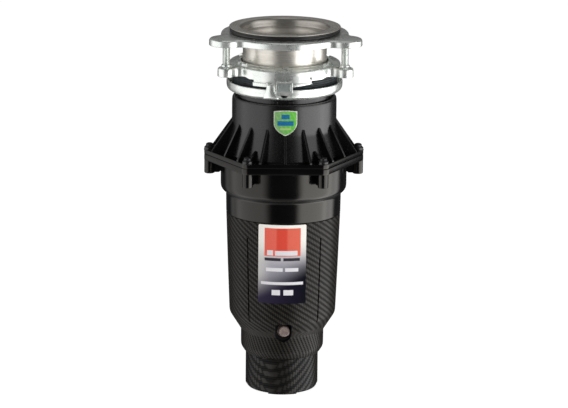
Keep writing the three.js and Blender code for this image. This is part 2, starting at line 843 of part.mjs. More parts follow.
/** The coils: a straight bundle in each slot, and a thick ring of end turns above and below. */
function armatureWindings() {
  const bundle = box(-2.6, 2.6, -32.6, -20.4, CORE_BOTTOM - 3, CORE_TOP + 3);
  const endTurns = [
    ring(18, 33, CORE_BOTTOM - 10, CORE_BOTTOM - GAP, SMALL_SIDES),
    ring(18, 33, CORE_TOP + GAP, CORE_TOP + 7, SMALL_SIDES),
  ];
  return join(
    ...endTurns,
    ...Array.from({ length: SLOT_COUNT }, (_, i) => atAzimuth(bundle, (i * 360) / SLOT_COUNT)),
  );
}

function lowerEndFrame() {
  const pocket = BEARING_RADIUS + 0.35;
  const profile = [
    [7, 76],
    [19.5, 76],
    [19.5, 88.8],
    [44.3, 88.8],
    [44.3, 93],
    [pocket, 93],
    [pocket, LOWER_BEARING_BOTTOM - GAP],
    [7, LOWER_BEARING_BOTTOM - GAP],
  ];
  return turned(profile, MIDDLE_SIDES);
}

/** A box guide that stands on the end frame, open towards the commutator. */
function brushHolder() {
  const guide = box(18, HOLDER_END, -5.9, 5.9, 93.3, BRUSH_TOP + 2);
  const channel = box(17, HOLDER_END - 2, -4.4, 4.4, BRUSH_BOTTOM - 0.4, BRUSH_TOP + 0.4);
  return cut(guide, channel);
}

/** A helix along X behind the brush. */
class SpringLine extends THREE.Curve {
  constructor(start, end, radius, turns, height) {
    super();
    Object.assign(this, { start, end, radius, turns, height });
  }

  getPoint(t, target = new THREE.Vector3()) {
    const angle = 2 * Math.PI * this.turns * t;
    return target.set(
      THREE.MathUtils.lerp(this.start, this.end, t),
      this.radius * Math.cos(angle),
      this.height + this.radius * Math.sin(angle),
    );
  }
}

function brushSpring() {
  const wire = new THREE.Shape().absarc(0, 0, 0.45, 0, 2 * Math.PI, false);
  const height = (BRUSH_BOTTOM + BRUSH_TOP) / 2;
  const extrudePath = new SpringLine(33.8, 40.9, 3, 4, height);
  return new THREE.ExtrudeGeometry(wire, { steps: 28, curveSegments: 2, extrudePath });
}

const bearing = (name, bottom) => {
  const top = bottom + BEARING_WIDTH;
  place(motor, `${name}_outer`, ring(12.8, BEARING_RADIUS, bottom, top, SMALL_SIDES), STEEL);
  place(motor, `${name}_inner`, ring(SHAFT_BORE, 9.2, bottom, top, SMALL_SIDES), STEEL);
};

place(motor, 'shaft', disc(SHAFT_RADIUS, 77, 236, SMALL_SIDES), STEEL);
bearing('upper_bearing', UPPER_BEARING_BOTTOM);
bearing('lower_bearing', LOWER_BEARING_BOTTOM);
place(motor, 'armature_core', armatureCore(), STEEL);
place(motor, 'armature_windings', armatureWindings(), COPPER);
place(
  motor,
  'commutator',
  ring(SHAFT_BORE, COMMUTATOR_RADIUS, BRUSH_BOTTOM - 2, BRUSH_TOP + 2, SMALL_SIDES),
  COPPER,
);
place(motor, 'motor_can', ring(CAN_BORE, CAN_BORE + 2, 87, SHELL_TOP + 0.6, MIDDLE_SIDES), ZINC);
place(motor, 'lower_end_frame', lowerEndFrame(), ALUMINIUM);
[0, 180].forEach((azimuth, i) => {
  const magnet = common(ring(36.2, CAN_BORE - 0.5, 118, 175, MIDDLE_SIDES), sector(-68, 68));
  const half = place(motor, `magnet_${i + 1}`, magnet, FERRITE);
  half.rotation.z = radians(azimuth);
  const side = place(motor, `brush_holder_${i + 1}`, brushHolder(), ALUMINIUM);
  side.rotation.z = radians(azimuth);
  const blockStart = COMMUTATOR_RADIUS + 0.5;
  const block = box(blockStart, 33.2, -4, 4, BRUSH_BOTTOM, BRUSH_TOP);
  place(motor, `brush_${i + 1}`, block, CARBON_BRUSH).rotation.z = radians(azimuth);
  place(motor, `brush_spring_${i + 1}`, brushSpring(), STEEL).rotation.z = radians(azimuth);
});

// ---------------------------------------------------------------- casing and controls

/** The outside of the shell, from its rounded foot to its top edge. */
const shellOutside = [
  [38.4, CAP_TOP + GAP],
  [39.8, 40.4],
  [42.3, 44.4],
  [42.8, 46.9],
  [42.9, 62.6],
  [SHELL_WAIST_RADIUS, SHELL_WAIST],
  [SHELL_MIDDLE_RADIUS, SHELL_MIDDLE],
  [SHELL_TOP_RADIUS, SHELL_TOP],
];

/** The button's recess as seen from the front: flat at its top and round at its bottom. */
function recessShape(margin) {
  const half = 8.65 + margin;
  const middle = 67.55;
  const top = 80 + margin;
  const shape = new THREE.Shape();
  shape.moveTo(half, middle);
  shape.lineTo(half, top);
  shape.lineTo(-half, top);
  shape.lineTo(-half, middle);
  shape.absarc(0, middle, half, Math.PI, 2 * Math.PI, false);
  return shape;
}

function trimShell() {
  const inside = [
    [SHELL_TOP_RADIUS - SHELL_WALL, SHELL_TOP],
    [SHELL_MIDDLE_RADIUS - SHELL_WALL, SHELL_MIDDLE],
    [SHELL_WAIST_RADIUS - SHELL_WALL, SHELL_WAIST + 1.1],
    [42.9 - SHELL_WALL, 63.7],
    [42.8 - SHELL_WALL, 48.5],
    [38.2, 44.9],
    [35.2, 41.2],
    [35.2, CAP_TOP + GAP],
  ];
  const wall = turned([...shellOutside, ...inside]);
  const filled = turned([[0, CAP_TOP + GAP], ...shellOutside, [0, SHELL_TOP]]);
  const recessBack = 38.5;
  const recessFloor = 41;
  const cup = common(filled, facing(recessShape(2), recessBack, 60));
  const slit = fin([[52.3, 78.7], [57, 169.4], [70, 169.4], [70, 78.7]], 1.5);
  const buttonHole = disc(BUTTON_RADIUS + 0.4, -50, -30, SMALL_SIDES);
  return cut(
    join(wall, cup),
    facing(recessShape(0), recessFloor, 60),
    laidBack(buttonHole, BUTTON_HEIGHT),
    laidBack(disc(7.5, 30, 50, SMALL_SIDES), GLAND_HEIGHT),
    ...[-40, 40, 140, 220].map((azimuth) => atAzimuth(slit, azimuth)),
  );
}

/** A cup with a flat foot, three raised pads, a spigot for the shell and four board posts. */
function baseCap() {
  const cup = turned([
    [0, 0],
    [33, 0],
    [36.4, 1.4],
    [38.1, 5],
    [38.1, CAP_TOP],
    [34.9, CAP_TOP],
    [34.9, 44.5],
    [32.4, 44.5],
    [32.4, 3],
    [0, 3],
  ]);
  const padRing = turned([[34, 0], [37.7, 0], [39.3, 1.8], [39.3, CAP_TOP], [34, CAP_TOP]]);
  const pad = common(padRing, sector(-23.5, 23.5));
  const post = disc(2.5, 2, 23.7, SCREW_SIDES);
  const posts = [-1, 1].flatMap((x) => [-1, 1].map((y) => post.clone().translate(18 * x, 13 * y, 0)));
  return join(cup, ...[0, 120, 240].map((azimuth) => atAzimuth(pad, azimuth)), ...posts);
}

/** A push button with a rim behind the shell's recess that keeps it from falling out. */
function resetButton() {
  const profile = [[0, -44], [BUTTON_RADIUS, -44], [BUTTON_RADIUS, -38.2], [7.6, -38.2]];
  return laidBack(turned([...profile, [7.6, -37.3], [0, -37.3]], SMALL_SIDES), BUTTON_HEIGHT);
}

function resetSwitch() {
  const body = box(-12, 12, -34, -16, 62, 75.5);
  const blade = box(-2.5, 2.5, -17, -9, 67, 68);
  return join(body, blade.clone().translate(-6, 0, 0), blade.clone().translate(6, 0, 0));
}

function rectifierBoard() {
  const board = box(-22, 22, -17, 17, 24, 25.6);
  const bridge = box(-8, 8, -8, 8, 25, 33);
  const capacitor = disc(4.5, 25, 38, SCREW_SIDES);
  return join(
    board,
    bridge,
    capacitor.clone().translate(-15, 5, 0),
    capacitor.clone().translate(15, 5, 0),
  );
}

/** A cable gland: a nut inside the shell, a flange and a cap outside it, and a bore for a cord. */
function cordGland() {
  return laidBack(
    turned(
      [
        [4, 33.6],
        [8.2, 33.6],
        [8.2, 37.2],
        [7, 37.2],
        [7, 43.2],
        [9.4, 43.2],
        [9.4, 46.5],
        [8.4, 46.5],
        [8.4, 55],
        [7.2, 57.5],
        [4, 57.5],
      ],
      SMALL_SIDES,
    ),
    GLAND_HEIGHT,
  );
}

/** A thin printed sheet that follows the shell's slope. */
function labelPlate() {
  const halfWidth = 24.85;
  const [top, bottom] = [186.5, 103.1];
  const slope = (SHELL_TOP_RADIUS - SHELL_MIDDLE_RADIUS) / (SHELL_TOP - SHELL_MIDDLE);
  const lowerSlope = (SHELL_MIDDLE_RADIUS - SHELL_WAIST_RADIUS) / (SHELL_MIDDLE - SHELL_WAIST);
  const [near, far] = [GAP, GAP + 0.6];
  const radii = [
    [SHELL_MIDDLE_RADIUS + (top - SHELL_MIDDLE) * slope, top],
    [SHELL_MIDDLE_RADIUS, SHELL_MIDDLE],
    [SHELL_MIDDLE_RADIUS - (SHELL_MIDDLE - bottom) * lowerSlope, bottom],
  ];
  const inside = radii.map(([r, z]) => [r + near, z]);
  const outside = radii.toReversed().map(([r, z]) => [r + far, z]);
  return common(turned([...inside, ...outside]), box(-halfWidth, halfWidth, -80, 0, 90, 200));
}

/** A shield-shaped badge bent round the hopper. */
function shieldBadge() {
  const half = 11.9;
  const [top, shoulder, tip] = [303.6, 292, 278.2];
  const shape = new THREE.Shape();
  shape.moveTo(0, tip);
  shape.quadraticCurveTo(half, 283.5, half, shoulder);
  shape.lineTo(half, top);
  shape.quadraticCurveTo(0, top + 1.6, -half, top);
  shape.lineTo(-half, shoulder);
  shape.quadraticCurveTo(-half, 283.5, 0, tip);
  const skin = ring(HOPPER_RADIUS + 0.4, HOPPER_RADIUS + 1.3, 270, 312);
  return common(skin, facing(shape, 30, 70));
}

place(casing, 'trim_shell', trimShell(), CARBON);
place(casing, 'base_cap', baseCap(), CARBON);
place(casing, 'sound_insulation', ring(47.3, 51.4, 92, 184, MIDDLE_SIDES), FOAM);
place(casing, 'reset_button', resetButton(), BUTTON_PLASTIC);
place(casing, 'reset_switch', resetSwitch(), BLACK_PLASTIC);
place(casing, 'rectifier_board', rectifierBoard(), CIRCUIT);
place(casing, 'cord_gland', cordGland(), BLACK_PLASTIC);
place(casing, 'label_plate', labelPlate(), LABEL_PRINT);
place(casing, 'shield_badge', shieldBadge(), BADGE_PRINT);

export default disposal;
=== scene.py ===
"""The visual model of a kitchen garbage disposal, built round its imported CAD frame.

Lengths are written in millimetres and turned into metres when a mesh is made. +Z is up and the
front faces -Y. An azimuth is an angle about Z in degrees, counted from the front towards +X.
"""

import json
import math

import bmesh
import bpy
from mathutils import Matrix, Vector


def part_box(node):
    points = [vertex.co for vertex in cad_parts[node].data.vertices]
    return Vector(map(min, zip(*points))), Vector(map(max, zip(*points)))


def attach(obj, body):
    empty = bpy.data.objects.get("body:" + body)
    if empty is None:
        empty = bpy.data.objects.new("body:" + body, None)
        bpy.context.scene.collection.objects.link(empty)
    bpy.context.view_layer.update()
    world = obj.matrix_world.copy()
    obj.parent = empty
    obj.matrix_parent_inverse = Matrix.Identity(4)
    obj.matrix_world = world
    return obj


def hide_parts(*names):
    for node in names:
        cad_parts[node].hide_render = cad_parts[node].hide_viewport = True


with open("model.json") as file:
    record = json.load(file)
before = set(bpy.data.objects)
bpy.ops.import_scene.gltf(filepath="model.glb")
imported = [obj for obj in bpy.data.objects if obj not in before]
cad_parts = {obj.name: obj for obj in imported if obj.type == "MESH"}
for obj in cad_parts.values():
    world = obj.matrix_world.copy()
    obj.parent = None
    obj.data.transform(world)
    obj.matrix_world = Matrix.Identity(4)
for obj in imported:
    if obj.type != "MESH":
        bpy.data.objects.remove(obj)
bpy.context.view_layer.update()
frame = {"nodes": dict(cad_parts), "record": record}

MM = 0.001
SEGMENTS = 144  # facets round the large turned pieces
SMALL_SEGMENTS = 40  # facets round screws, columns and pipes
THIRDS = (0, 120, 240)
SIXTHS = (30, 90, 150, 210, 270, 330)
RIB_COUNT = 18


def heights(node):
    """The lowest and the highest height of a CAD node."""
    return [corner.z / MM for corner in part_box(node)]


def bottom_of(node):
    return heights(node)[0]


def top_of(node):
    return heights(node)[1]


# ---- shapes


class Shape:
    """Points in millimetres and the faces between them."""

    def __init__(self, points=(), faces=()):
        self.points = [Vector(point) for point in points]
        self.faces = [tuple(face) for face in faces]

    def __add__(self, other):
        shift = len(self.points)
        moved = [tuple(corner + shift for corner in face) for face in other.faces]
        return Shape(self.points + other.points, self.faces + moved)

    def transformed(self, matrix):
        return Shape([matrix @ point for point in self.points], self.faces)

    def moved(self, x=0.0, y=0.0, z=0.0):
        return self.transformed(Matrix.Translation((x, y, z)))

    def at(self, azimuth):
        """Turned about Z, from the front to an azimuth."""
        return self.transformed(Matrix.Rotation(math.radians(azimuth), 4, "Z"))

    def laid_back(self, height):
        """Its own axis, Z, points back along +Y at a height."""
        lying = Matrix.Rotation(math.radians(-90), 4, "X")
        return self.transformed(Matrix.Translation((0, 0, height)) @ lying)


def polar(radius, azimuth, z=0.0):
    angle = math.radians(azimuth)
    return Vector((radius * math.sin(angle), -radius * math.cos(angle), z))


def rounded(corners, radius, steps=4):
    """A closed outline with its corners rounded. A corner may carry a radius of its own."""
    smooth = []
    for i, corner in enumerate(corners):
        here = Vector(corner[:2])
        back = Vector(corners[i - 1][:2]) - here
        ahead = Vector(corners[(i + 1) % len(corners)][:2]) - here
        wanted = corner[2] if len(corner) > 2 else radius
        reach = min(wanted, back.length * 0.48, ahead.length * 0.48)
        if reach <= 0:
            smooth.append(here)
            continue
        start = here + back.normalized() * reach
        end = here + ahead.normalized() * reach
        for step in range(steps + 1):
            t = step / steps
            smooth.append(start * (1 - t) ** 2 + here * 2 * t * (1 - t) + end * t**2)
    return smooth


def loft(rings, closed=True):
    """Joins rings of equally many points with quads. A closed loft joins the last to the first."""
    count = len(rings[0])
    points = [point for ring in rings for point in ring]
    faces = []
    for i in range(len(rings) if closed else len(rings) - 1):
        here, there = i * count, (i + 1) % len(rings) * count
        for j in range(count):
            k = (j + 1) % count
            faces.append((here + j, here + k, there + k, there + j))
    return Shape(points, faces)


def turned(profile, radius=0.3, segments=SEGMENTS):
    """A closed profile of (radius, height) corners, rounded and turned about Z."""
    smooth = rounded(profile, radius)
    rings = []
    for i in range(segments):
        azimuth = 360 * i / segments
        rings.append([polar(r, azimuth, z) for r, z in smooth])
    return loft(rings)


def sector(profile, start, end, radius=0.3, step=2.0):
    """A profile turned from one azimuth to another and closed at both ends."""
    smooth = rounded(profile, radius)
    steps = math.ceil((end - start) / step)
    rings = []
    for i in range(steps + 1):
        azimuth = start + (end - start) * i / steps
        rings.append([polar(r, azimuth, z) for r, z in smooth])
    shape = loft(rings, closed=False)
    count = len(smooth)
    shape.faces.append(tuple(range(count)))
    shape.faces.append(tuple(range(steps * count, (steps + 1) * count)))
    return shape


def rod(radius, bottom, top, segments):
    """A plain cylinder on the Z axis."""
    return turned([(0, bottom), (radius, bottom), (radius, top), (0, top)], 0, segments)


def circle(radius, angles, z):
    return [Vector((radius * math.cos(a), radius * math.sin(a), z)) for a in angles]


def prism(outline, bottom, top):
    """An outline in the XY plane, standing from one height to another."""
    rings = [[Vector((x, y, z)) for x, y in outline] for z in (bottom, top)]
    shape = loft(rings, closed=False)
    count = len(outline)
    shape.faces.append(tuple(range(count)))
    shape.faces.append(tuple(range(count, 2 * count)))
    return shape


def block(length, width, bottom, top):
    """An upright block on the Z axis, its length along X."""
    x, y = length / 2, width / 2
    return prism([(-x, -y), (x, -y), (x, y), (-x, y)], bottom, top)


def fin(corners, thickness):
    """A plate in the front radial plane, from (radius, height) corners."""
    upright = Matrix(((0, 0, 1, 0), (-1, 0, 0, 0), (0, 1, 0, 0), (0, 0, 0, 1)))
    return prism(corners, -thickness / 2, thickness / 2).transformed(upright)


def combined(shapes):
    total = Shape()
    for shape in shapes:
        total = total + shape
    return total


def repeated(shape, azimuths):
    return combined(shape.at(azimuth) for azimuth in azimuths)


def band(circles, steps=64):
    """The outline round a set of (x, y, radius) circles, as if a band were stretched round them."""
    points = []
    for x, y, radius in circles:
        for i in range(steps):
            angle = 2 * math.pi * i / steps
            points.append((x + radius * math.cos(angle), y + radius * math.sin(angle)))
    points.sort()

    def turn(a, b, c):
        return (b[0] - a[0]) * (c[1] - a[1]) - (b[1] - a[1]) * (c[0] - a[0])

    def half(ordered):
        chain = []
        for point in ordered:
            while len(chain) > 1 and turn(chain[-2], chain[-1], point) <= 1e-9:
                chain.pop()
            chain.append(point)
        return chain[:-1]

    return half(points) + half(points[::-1])


# ---- pieces


def make_mesh(name, shape, crease):
    mesh = bpy.data.meshes.new(name)
    mesh.from_pydata([point * MM for point in shape.points], [], shape.faces)
    work = bmesh.new()
    work.from_mesh(mesh)
    bmesh.ops.remove_doubles(work, verts=work.verts, dist=1e-7)
    bmesh.ops.recalc_face_normals(work, faces=work.faces)
    work.to_mesh(mesh)
    work.free()
    mesh.shade_smooth()
    mesh.set_sharp_from_angle(angle=math.radians(crease))
    return mesh


def add_object(name, shape, crease=38):
    thing = bpy.data.objects.new(name, make_mesh(name, shape, crease))
    bpy.context.scene.collection.objects.link(thing)
    return thing


def bevel(thing, width, segments=3, limit=32):
    """Rounds the sharp edges of a piece."""
    modifier = thing.modifiers.new("edges", "BEVEL")
    modifier.width = width * MM
    modifier.segments = segments
    modifier.limit_method = "ANGLE"
    modifier.angle_limit = math.radians(limit)
    modifier.use_clamp_overlap = True
    modifier.harden_normals = True


def carve(thing, tools):
    """Cuts shapes out of a piece, one after the other."""
    cutters = [add_object("cutter", tool) for tool in tools]
    for cutter in cutters:
        modifier = thing.modifiers.new("carve", "BOOLEAN")
        modifier.operation = "DIFFERENCE"
        modifier.solver = "EXACT"
        modifier.object = cutter
    graph = bpy.context.evaluated_depsgraph_get()
    carved = bpy.data.meshes.new_from_object(thing.evaluated_get(graph))
    thing.modifiers.clear()
    thing.data = carved
    for cutter in cutters:
        bpy.data.objects.remove(cutter)


def add_piece(name, shape, slot, node=None, body="housing", look=None, edge=0.0, crease=38):
    """A shown piece that rides on a body, in place of a CAD node if one is named.

    Its finish is the one of its slot, unless it has a look of its own.
    """
    thing = add_object(name, shape, crease)
    thing.data.materials.append(look or LOOKS[slot])
    if edge:
        bevel(thing, edge)
    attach(thing, body)
    if node:
        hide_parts(node)
    return thing


# ---- materials


class Graph:
    """A node tree that is put together from small steps."""

    def __init__(self, owner):
        owner.use_nodes = True
        self.tree = owner.node_tree

    def feed(self, socket, value):
        """Links a socket, or sets it straight to a constant."""
        if isinstance(value, bpy.types.NodeSocket):
            self.tree.links.new(value, socket)
        elif isinstance(value, tuple) and len(value) == 3 and socket.type == "RGBA":
            socket.default_value = (*value, 1.0)
        else:
            socket.default_value = value

    def node(self, kind, *values, **settings):
        """A new node with its settings made and its first inputs fed."""
        node = self.tree.nodes.new("ShaderNode" + kind)
        for name, setting in settings.items():
            setattr(node, name, setting)
        for socket, value in zip(node.inputs, values):
            self.feed(socket, value)
        return node

    def split(self, place):
        """The three parts of a vector."""
        return self.node("SeparateXYZ", place).outputs

    def math(self, operation, *values):
        return self.node("Math", *values, operation=operation).outputs[0]

    def plus(self, first, second):
        return self.math("ADD", first, second)

    def minus(self, first, second):
        return self.math("SUBTRACT", first, second)

    def times(self, first, second):
        return self.math("MULTIPLY", first, second)

    def ramp(self, value, low, high, at_low=0.0, at_high=1.0, smooth=True):
        """Maps a value from one range to another, held at both ends."""
        kind = "SMOOTHSTEP" if smooth else "LINEAR"
        limits = (low, high, at_low, at_high)
        return self.node("MapRange", value, *limits, interpolation_type=kind).outputs[0]

    def mix(self, factor, first, second, blend="MIX"):
        """Mixes two colours."""
        node = self.node("Mix", factor, data_type="RGBA", blend_type=blend)
        self.feed(node.inputs[6], first)
        self.feed(node.inputs[7], second)
        return node.outputs[2]

    def within(self, value, low, high, soft):
        """1 between two limits and 0 outside them."""
        above = self.ramp(value, low - soft, low + soft)
        below = self.ramp(value, high - soft, high + soft, 1, 0)
        return self.times(above, below)

    def azimuth(self, x, y):
        """The azimuth of a point or direction, in radians."""
        return self.math("ARCTAN2", x, self.times(y, -1))


class Look(Graph):
    """A surface finish in object space, in millimetres."""

    def __init__(self, name, metallic=0.0, roughness=0.5):
        self.material = bpy.data.materials.new(name)
        super().__init__(self.material)
        self.shader = self.tree.nodes["Principled BSDF"]
        self.set(Metallic=metallic, Roughness=roughness)
        scale = self.node("VectorMath", self.node("TexCoord").outputs["Object"], operation="SCALE")
        scale.inputs["Scale"].default_value = 1 / MM
        self.place = scale.outputs[0]
        self.x, self.y, self.z = self.split(self.place)

    def set(self, **values):
        """Feeds the inputs of the surface shader; an underscore stands for a space."""
        for name, value in values.items():
            self.feed(self.shader.inputs[name.replace("_", " ")], value)

    def noise(self, size, detail=3.0, place=None):
        """Noise from about 0.3 to 0.7 with features of a size in millimetres."""
        node = self.node("TexNoise", place or self.place)
        node.inputs["Scale"].default_value = 1 / size
        node.inputs["Detail"].default_value = detail
        return node.outputs[0]

    def spread(self, noise, low, high):
        """Stretches a noise over the numbers between two limits."""
        return self.ramp(noise, 0.3, 0.7, low, high)

    def tint(self, noise, dark, light):
        """Stretches a noise over the colours between two display colours."""
        return self.mix(self.ramp(noise, 0.3, 0.7), srgb(*dark), srgb(*light))

    def bump(self, height, depth):
        """Bumps the surface by a height from 0 to 1, times a depth in millimetres."""
        node = self.node("Bump")
        node.inputs["Distance"].default_value = depth * MM
        self.feed(node.inputs["Height"], height)
        self.set(Normal=node.outputs[0])


def srgb(red, green, blue):
    """A linear colour from 8-bit display values."""

    def linear(value):
        share = value / 255
        return share / 12.92 if share <= 0.04045 else ((share + 0.055) / 1.055) ** 2.4

    return (linear(red), linear(green), linear(blue))


def grained(name, dark, light, metallic, roughness, size=3.0, depth=0.02, spread=0.08):
    """A finish with a fine grain in its colour, its roughness and its surface."""
    look = Look(name, metallic)
    coarse = look.noise(size * 6)
    fine = look.noise(size, detail=5)
    blend = look.times(look.plus(coarse, fine), 0.5)
    look.set(
        Base_Color=look.mix(look.ramp(blend, 0.35, 0.65), srgb(*dark), srgb(*light)),
        Roughness=look.spread(fine, roughness - spread, roughness + spread),
    )
    look.bump(fine, depth)
    return look.material


def brushed_stainless():
    """Spun sheet: fine lines run round the axis, so they change with the height and the radius."""
    look = Look("stainless_brushed", metallic=0.85)
    flat = look.node("VectorMath", look.place, (1, 1, 0), operation="MULTIPLY").outputs[0]
    radius = look.node("VectorMath", flat, operation="LENGTH").outputs["Value"]
    turn = look.azimuth(look.x, look.y)
    place = look.node("CombineXYZ", look.times(radius, 3), turn, look.times(look.z, 3))
    lines = look.noise(1, detail=4, place=place.outputs[0])
    cloud = look.noise(16)
    colour = look.tint(cloud, (210, 204, 195), (226, 222, 214))
    rim = top_of("sink_flange")
    # The throat's funnel is painted half way to a dark brown-grey: painted shade inside the throat.
    inside = look.ramp(radius, 45.8, 46.4, 0.5, 0)
    funnel_shade = look.times(inside, look.ramp(look.z, rim - 12, rim - 9))
    look.set(
        Base_Color=look.mix(funnel_shade, colour, srgb(84, 80, 74)),
        Roughness=look.spread(lines, 0.26, 0.36),
    )
    look.bump(lines, 0.003)
    return look.material


def bright_zinc():
    """Bright zinc plate on pressed steel, slightly uneven and cloudy."""
    look = Look("zinc_bright", metallic=0.85)
    cloud = look.noise(9, detail=4)
    speck = look.noise(1.3, detail=2)
    colour = look.mix(look.ramp(cloud, 0.35, 0.68), srgb(222, 226, 222), srgb(240, 242, 238))
    look.set(
        Base_Color=look.mix(look.ramp(speck, 0.6, 0.75, 0, 0.3), colour, srgb(196, 203, 200)),
        Roughness=look.spread(cloud, 0.25, 0.33),
    )
    look.bump(look.noise(9, detail=1), 0.008)
    return look.material


def gloss_black():
    look = Look("moulding_gloss_black", roughness=0.16)
    wave = look.noise(24, detail=1)
    dust = look.noise(0.9, detail=2)
    look.set(
        Base_Color=look.tint(wave, (3, 3, 4), (6, 6, 7)),
        Roughness=look.ramp(dust, 0.55, 0.8, 0.15, 0.26),
        Specular_IOR_Level=0.45,
        Specular_Tint=(1, 0.95, 0.87),
    )
    look.bump(wave, 0.12)
    return look.material


def satin_black():
    """Moulded plastic with a fine spark eroded grain."""
    look = Look("moulding_satin_black")
    grain = look.noise(0.7, detail=3)
    cloud = look.noise(18)
    look.set(
        Base_Color=look.tint(cloud, (7, 7, 7), (13, 12, 12)),
        Roughness=look.spread(grain, 0.22, 0.32),
        Specular_IOR_Level=0.6,
    )
    look.bump(grain, 0.012)
    return look.material


def matt_black():
    """The matt black of the deep recess."""
    look = Look("recess_black", roughness=0.6)
    grain = look.noise(0.6)
    look.set(
        Base_Color=look.tint(grain, (1, 1, 1), (5, 5, 5)),
        Specular_IOR_Level=0.15,
    )
    look.bump(grain, 0.01)
    return look.material


def ribbed_rubber():
    """Dark rubber with a grain, and a bloom on it that is a little blue."""
    look = Look("rubber_ribbed")
    bloom = look.noise(6)
    grain = look.noise(0.8)
    look.set(
        Base_Color=look.mix(look.ramp(bloom, 0.35, 0.65), srgb(14, 20, 22), srgb(34, 44, 48)),
        Roughness=look.spread(grain, 0.5, 0.68),
    )
    look.bump(grain, 0.05)
    return look.material


def carbon_print():
    """A printed carbon weave: a two by two twill whose colour follows the lie of each thread."""
    look = Look("carbon_weave_print")
    pitch, tilt = 1.66, math.radians(12)
    print_radius, cone_foot, cap_top = 57, 62.6, 38
    turn = look.azimuth(look.x, look.y)
    squeeze = look.ramp(look.z, cone_foot + 2, cone_foot + 6, 1.7, 1, smooth=False)
    along = look.times(look.times(turn, print_radius), squeeze)
    on_cap = look.ramp(look.z, cap_top, cap_top + 1, 1, 0)
    swing = look.math("COSINE", look.plus(turn, 0.34))  # the cap's threads sag left of the front
    along = look.mix(on_cap, along, look.times(swing, print_radius * 0.75))
    under = look.math("MINIMUM", look.minus(look.z, cone_foot), 0)
    up = look.minus(look.z, look.times(under, 0.35))
    level, rise = math.cos(tilt) / pitch, math.sin(tilt) / pitch
    warp = look.plus(look.times(along, level), look.times(up, rise))
    weft = look.minus(look.times(up, level), look.times(along, rise))
    step = look.plus(look.math("FLOOR", warp), look.math("FLOOR", weft))
    warp_up = look.math("LESS_THAN", look.math("FLOORED_MODULO", step, 4), 1.5)
    weft_up = look.minus(1, warp_up)

    def profile(thread):
        """How high a thread stands across its width."""
        return look.math("SINE", look.times(look.math("FRACT", thread), math.pi))

    warp_tone = look.ramp(profile(warp), 0, 1, 0.35, 1)
    weft_tone = look.ramp(profile(weft), 0, 1, 0, 0.34)
    tone = look.plus(look.times(warp_tone, warp_up), look.times(weft_tone, weft_up))
    clouded = look.times(tone, look.spread(look.noise(9), 0.8, 1.1))
    weave = look.mix(clouded, srgb(2, 2, 3), srgb(43, 40, 36))
    faint = look.mix(clouded, srgb(8, 8, 8), srgb(34, 32, 30))
    # Just above the cone's foot the weave gives way to a plain lighter band: a painted reflection of
    # the pale floor on the downward-facing cone.
    floor_reflection_band = look.within(look.z, cone_foot + 0.3, cone_foot + 7.4, 1.4)
    look.set(
        Base_Color=look.mix(floor_reflection_band, look.mix(on_cap, weave, faint), srgb(38, 35, 32)),
        Roughness=look.ramp(tone, 0, 1, 0.42, 0.3),
        Specular_IOR_Level=look.ramp(tone, 0, 1, 0.04, 0.23),
    )
    look.bump(tone, 0.015)
    return look.material


LABEL_MIDDLE = -2
LABEL_HALF = 24.3


def painted(look, ground, colour, left, right, foot, top, soft=0.25):
    """Paints an upright rectangle over a ground colour."""
    width = look.within(look.x, left, right, soft)
    height = look.within(look.z, foot, top, soft)
    return look.mix(look.times(width, height), ground, colour)


def label_print():
    """The printed label: greys that fall to navy, a red panel, and bars in place of all words."""
    look = Look("label_print", roughness=0.45)
    look.x = look.minus(look.x, LABEL_MIDDLE)
    half = LABEL_HALF
    foot, top = heights("label_plate")
    right = look.ramp(look.x, -half, half, smooth=False)
    up = look.ramp(look.z, foot, top, smooth=False)
    slanted = look.minus(up, look.times(right, 0.3))
    dark = look.mix(right, srgb(44, 38, 58), srgb(2, 3, 14))
    grey = look.mix(look.ramp(right, 0, 0.3), srgb(182, 180, 178), srgb(154, 152, 160))
    ground = look.mix(look.ramp(slanted, 0.02, 0.44), dark, grey)
    ground = look.mix(look.ramp(up, 0.45, 0.85), ground, srgb(224, 220, 213))
    white, ink = srgb(205, 203, 206), srgb(52, 48, 56)
    red = look.mix(look.ramp(look.x, -17, 17), srgb(210, 96, 82), srgb(204, 98, 80))
    red = look.mix(look.within(look.x, -6, 5, 1.5), red, srgb(198, 70, 56))
    panel_foot = foot + 50.4
    ground = painted(look, ground, red, -18.2, 18.6, panel_foot, top - 3.4)
    bars = [
        (white, -15.5, -9.5, panel_foot + 0.8, 5.4), (white, -7.5, 15.5, panel_foot + 0.8, 5),
        (ink, -18, -1.5, panel_foot - 5, 3.2), (ink, 1, 18, panel_foot - 5, 3.2),
        (white, -16.5, 0.5, foot + 34.2, 3.8), (white, 3, 16.5, foot + 34.2, 3.8),
        (white, -21.5, 21.5, foot + 20, 3), (white, -10.5, -2, foot + 9, 5.6),
        (white, 1.5, 11.5, foot + 9, 5.6),
    ]
    for colour, left, end, low, height in bars:
        ground = painted(look, ground, colour, left, end, low, low + height)
    speckle = look.spread(look.noise(0.8), 0.95, 1.04)
    look.set(Base_Color=look.mix(1, ground, speckle, "MULTIPLY"), Specular_IOR_Level=0.03)
    look.bump(speckle, 0.01)
    return look.material


def badge_print():
    """A green badge with rays, and blue bars in place of its words."""
    look = Look("badge_print", roughness=0.25)
    foot = bottom_of("shield_badge")
    rays = look.math("PINGPONG", look.plus(look.x, look.times(look.z, 0.45)), 2.2)
    green = look.mix(look.ramp(look.x, -9, 9), srgb(106, 150, 96), srgb(86, 168, 62))
    ground = look.mix(look.ramp(rays, 0.8, 2.2, 0, 0.3), green, srgb(150, 190, 112))
    blue, pale = srgb(28, 96, 140), srgb(150, 180, 110)
    ground = painted(look, ground, blue, -4.2, 4.2, foot + 17.6, foot + 22.2)
    ground = painted(look, ground, blue, -8.2, 8.2, foot + 10.8, foot + 15.6)
    ground = painted(look, ground, pale, -5.5, 5.5, foot + 6.4, foot + 8.2)
    look.set(Base_Color=ground, Roughness=look.spread(look.noise(2), 0.2, 0.3))
    look.bump(rays, 0.02)
    return look.material


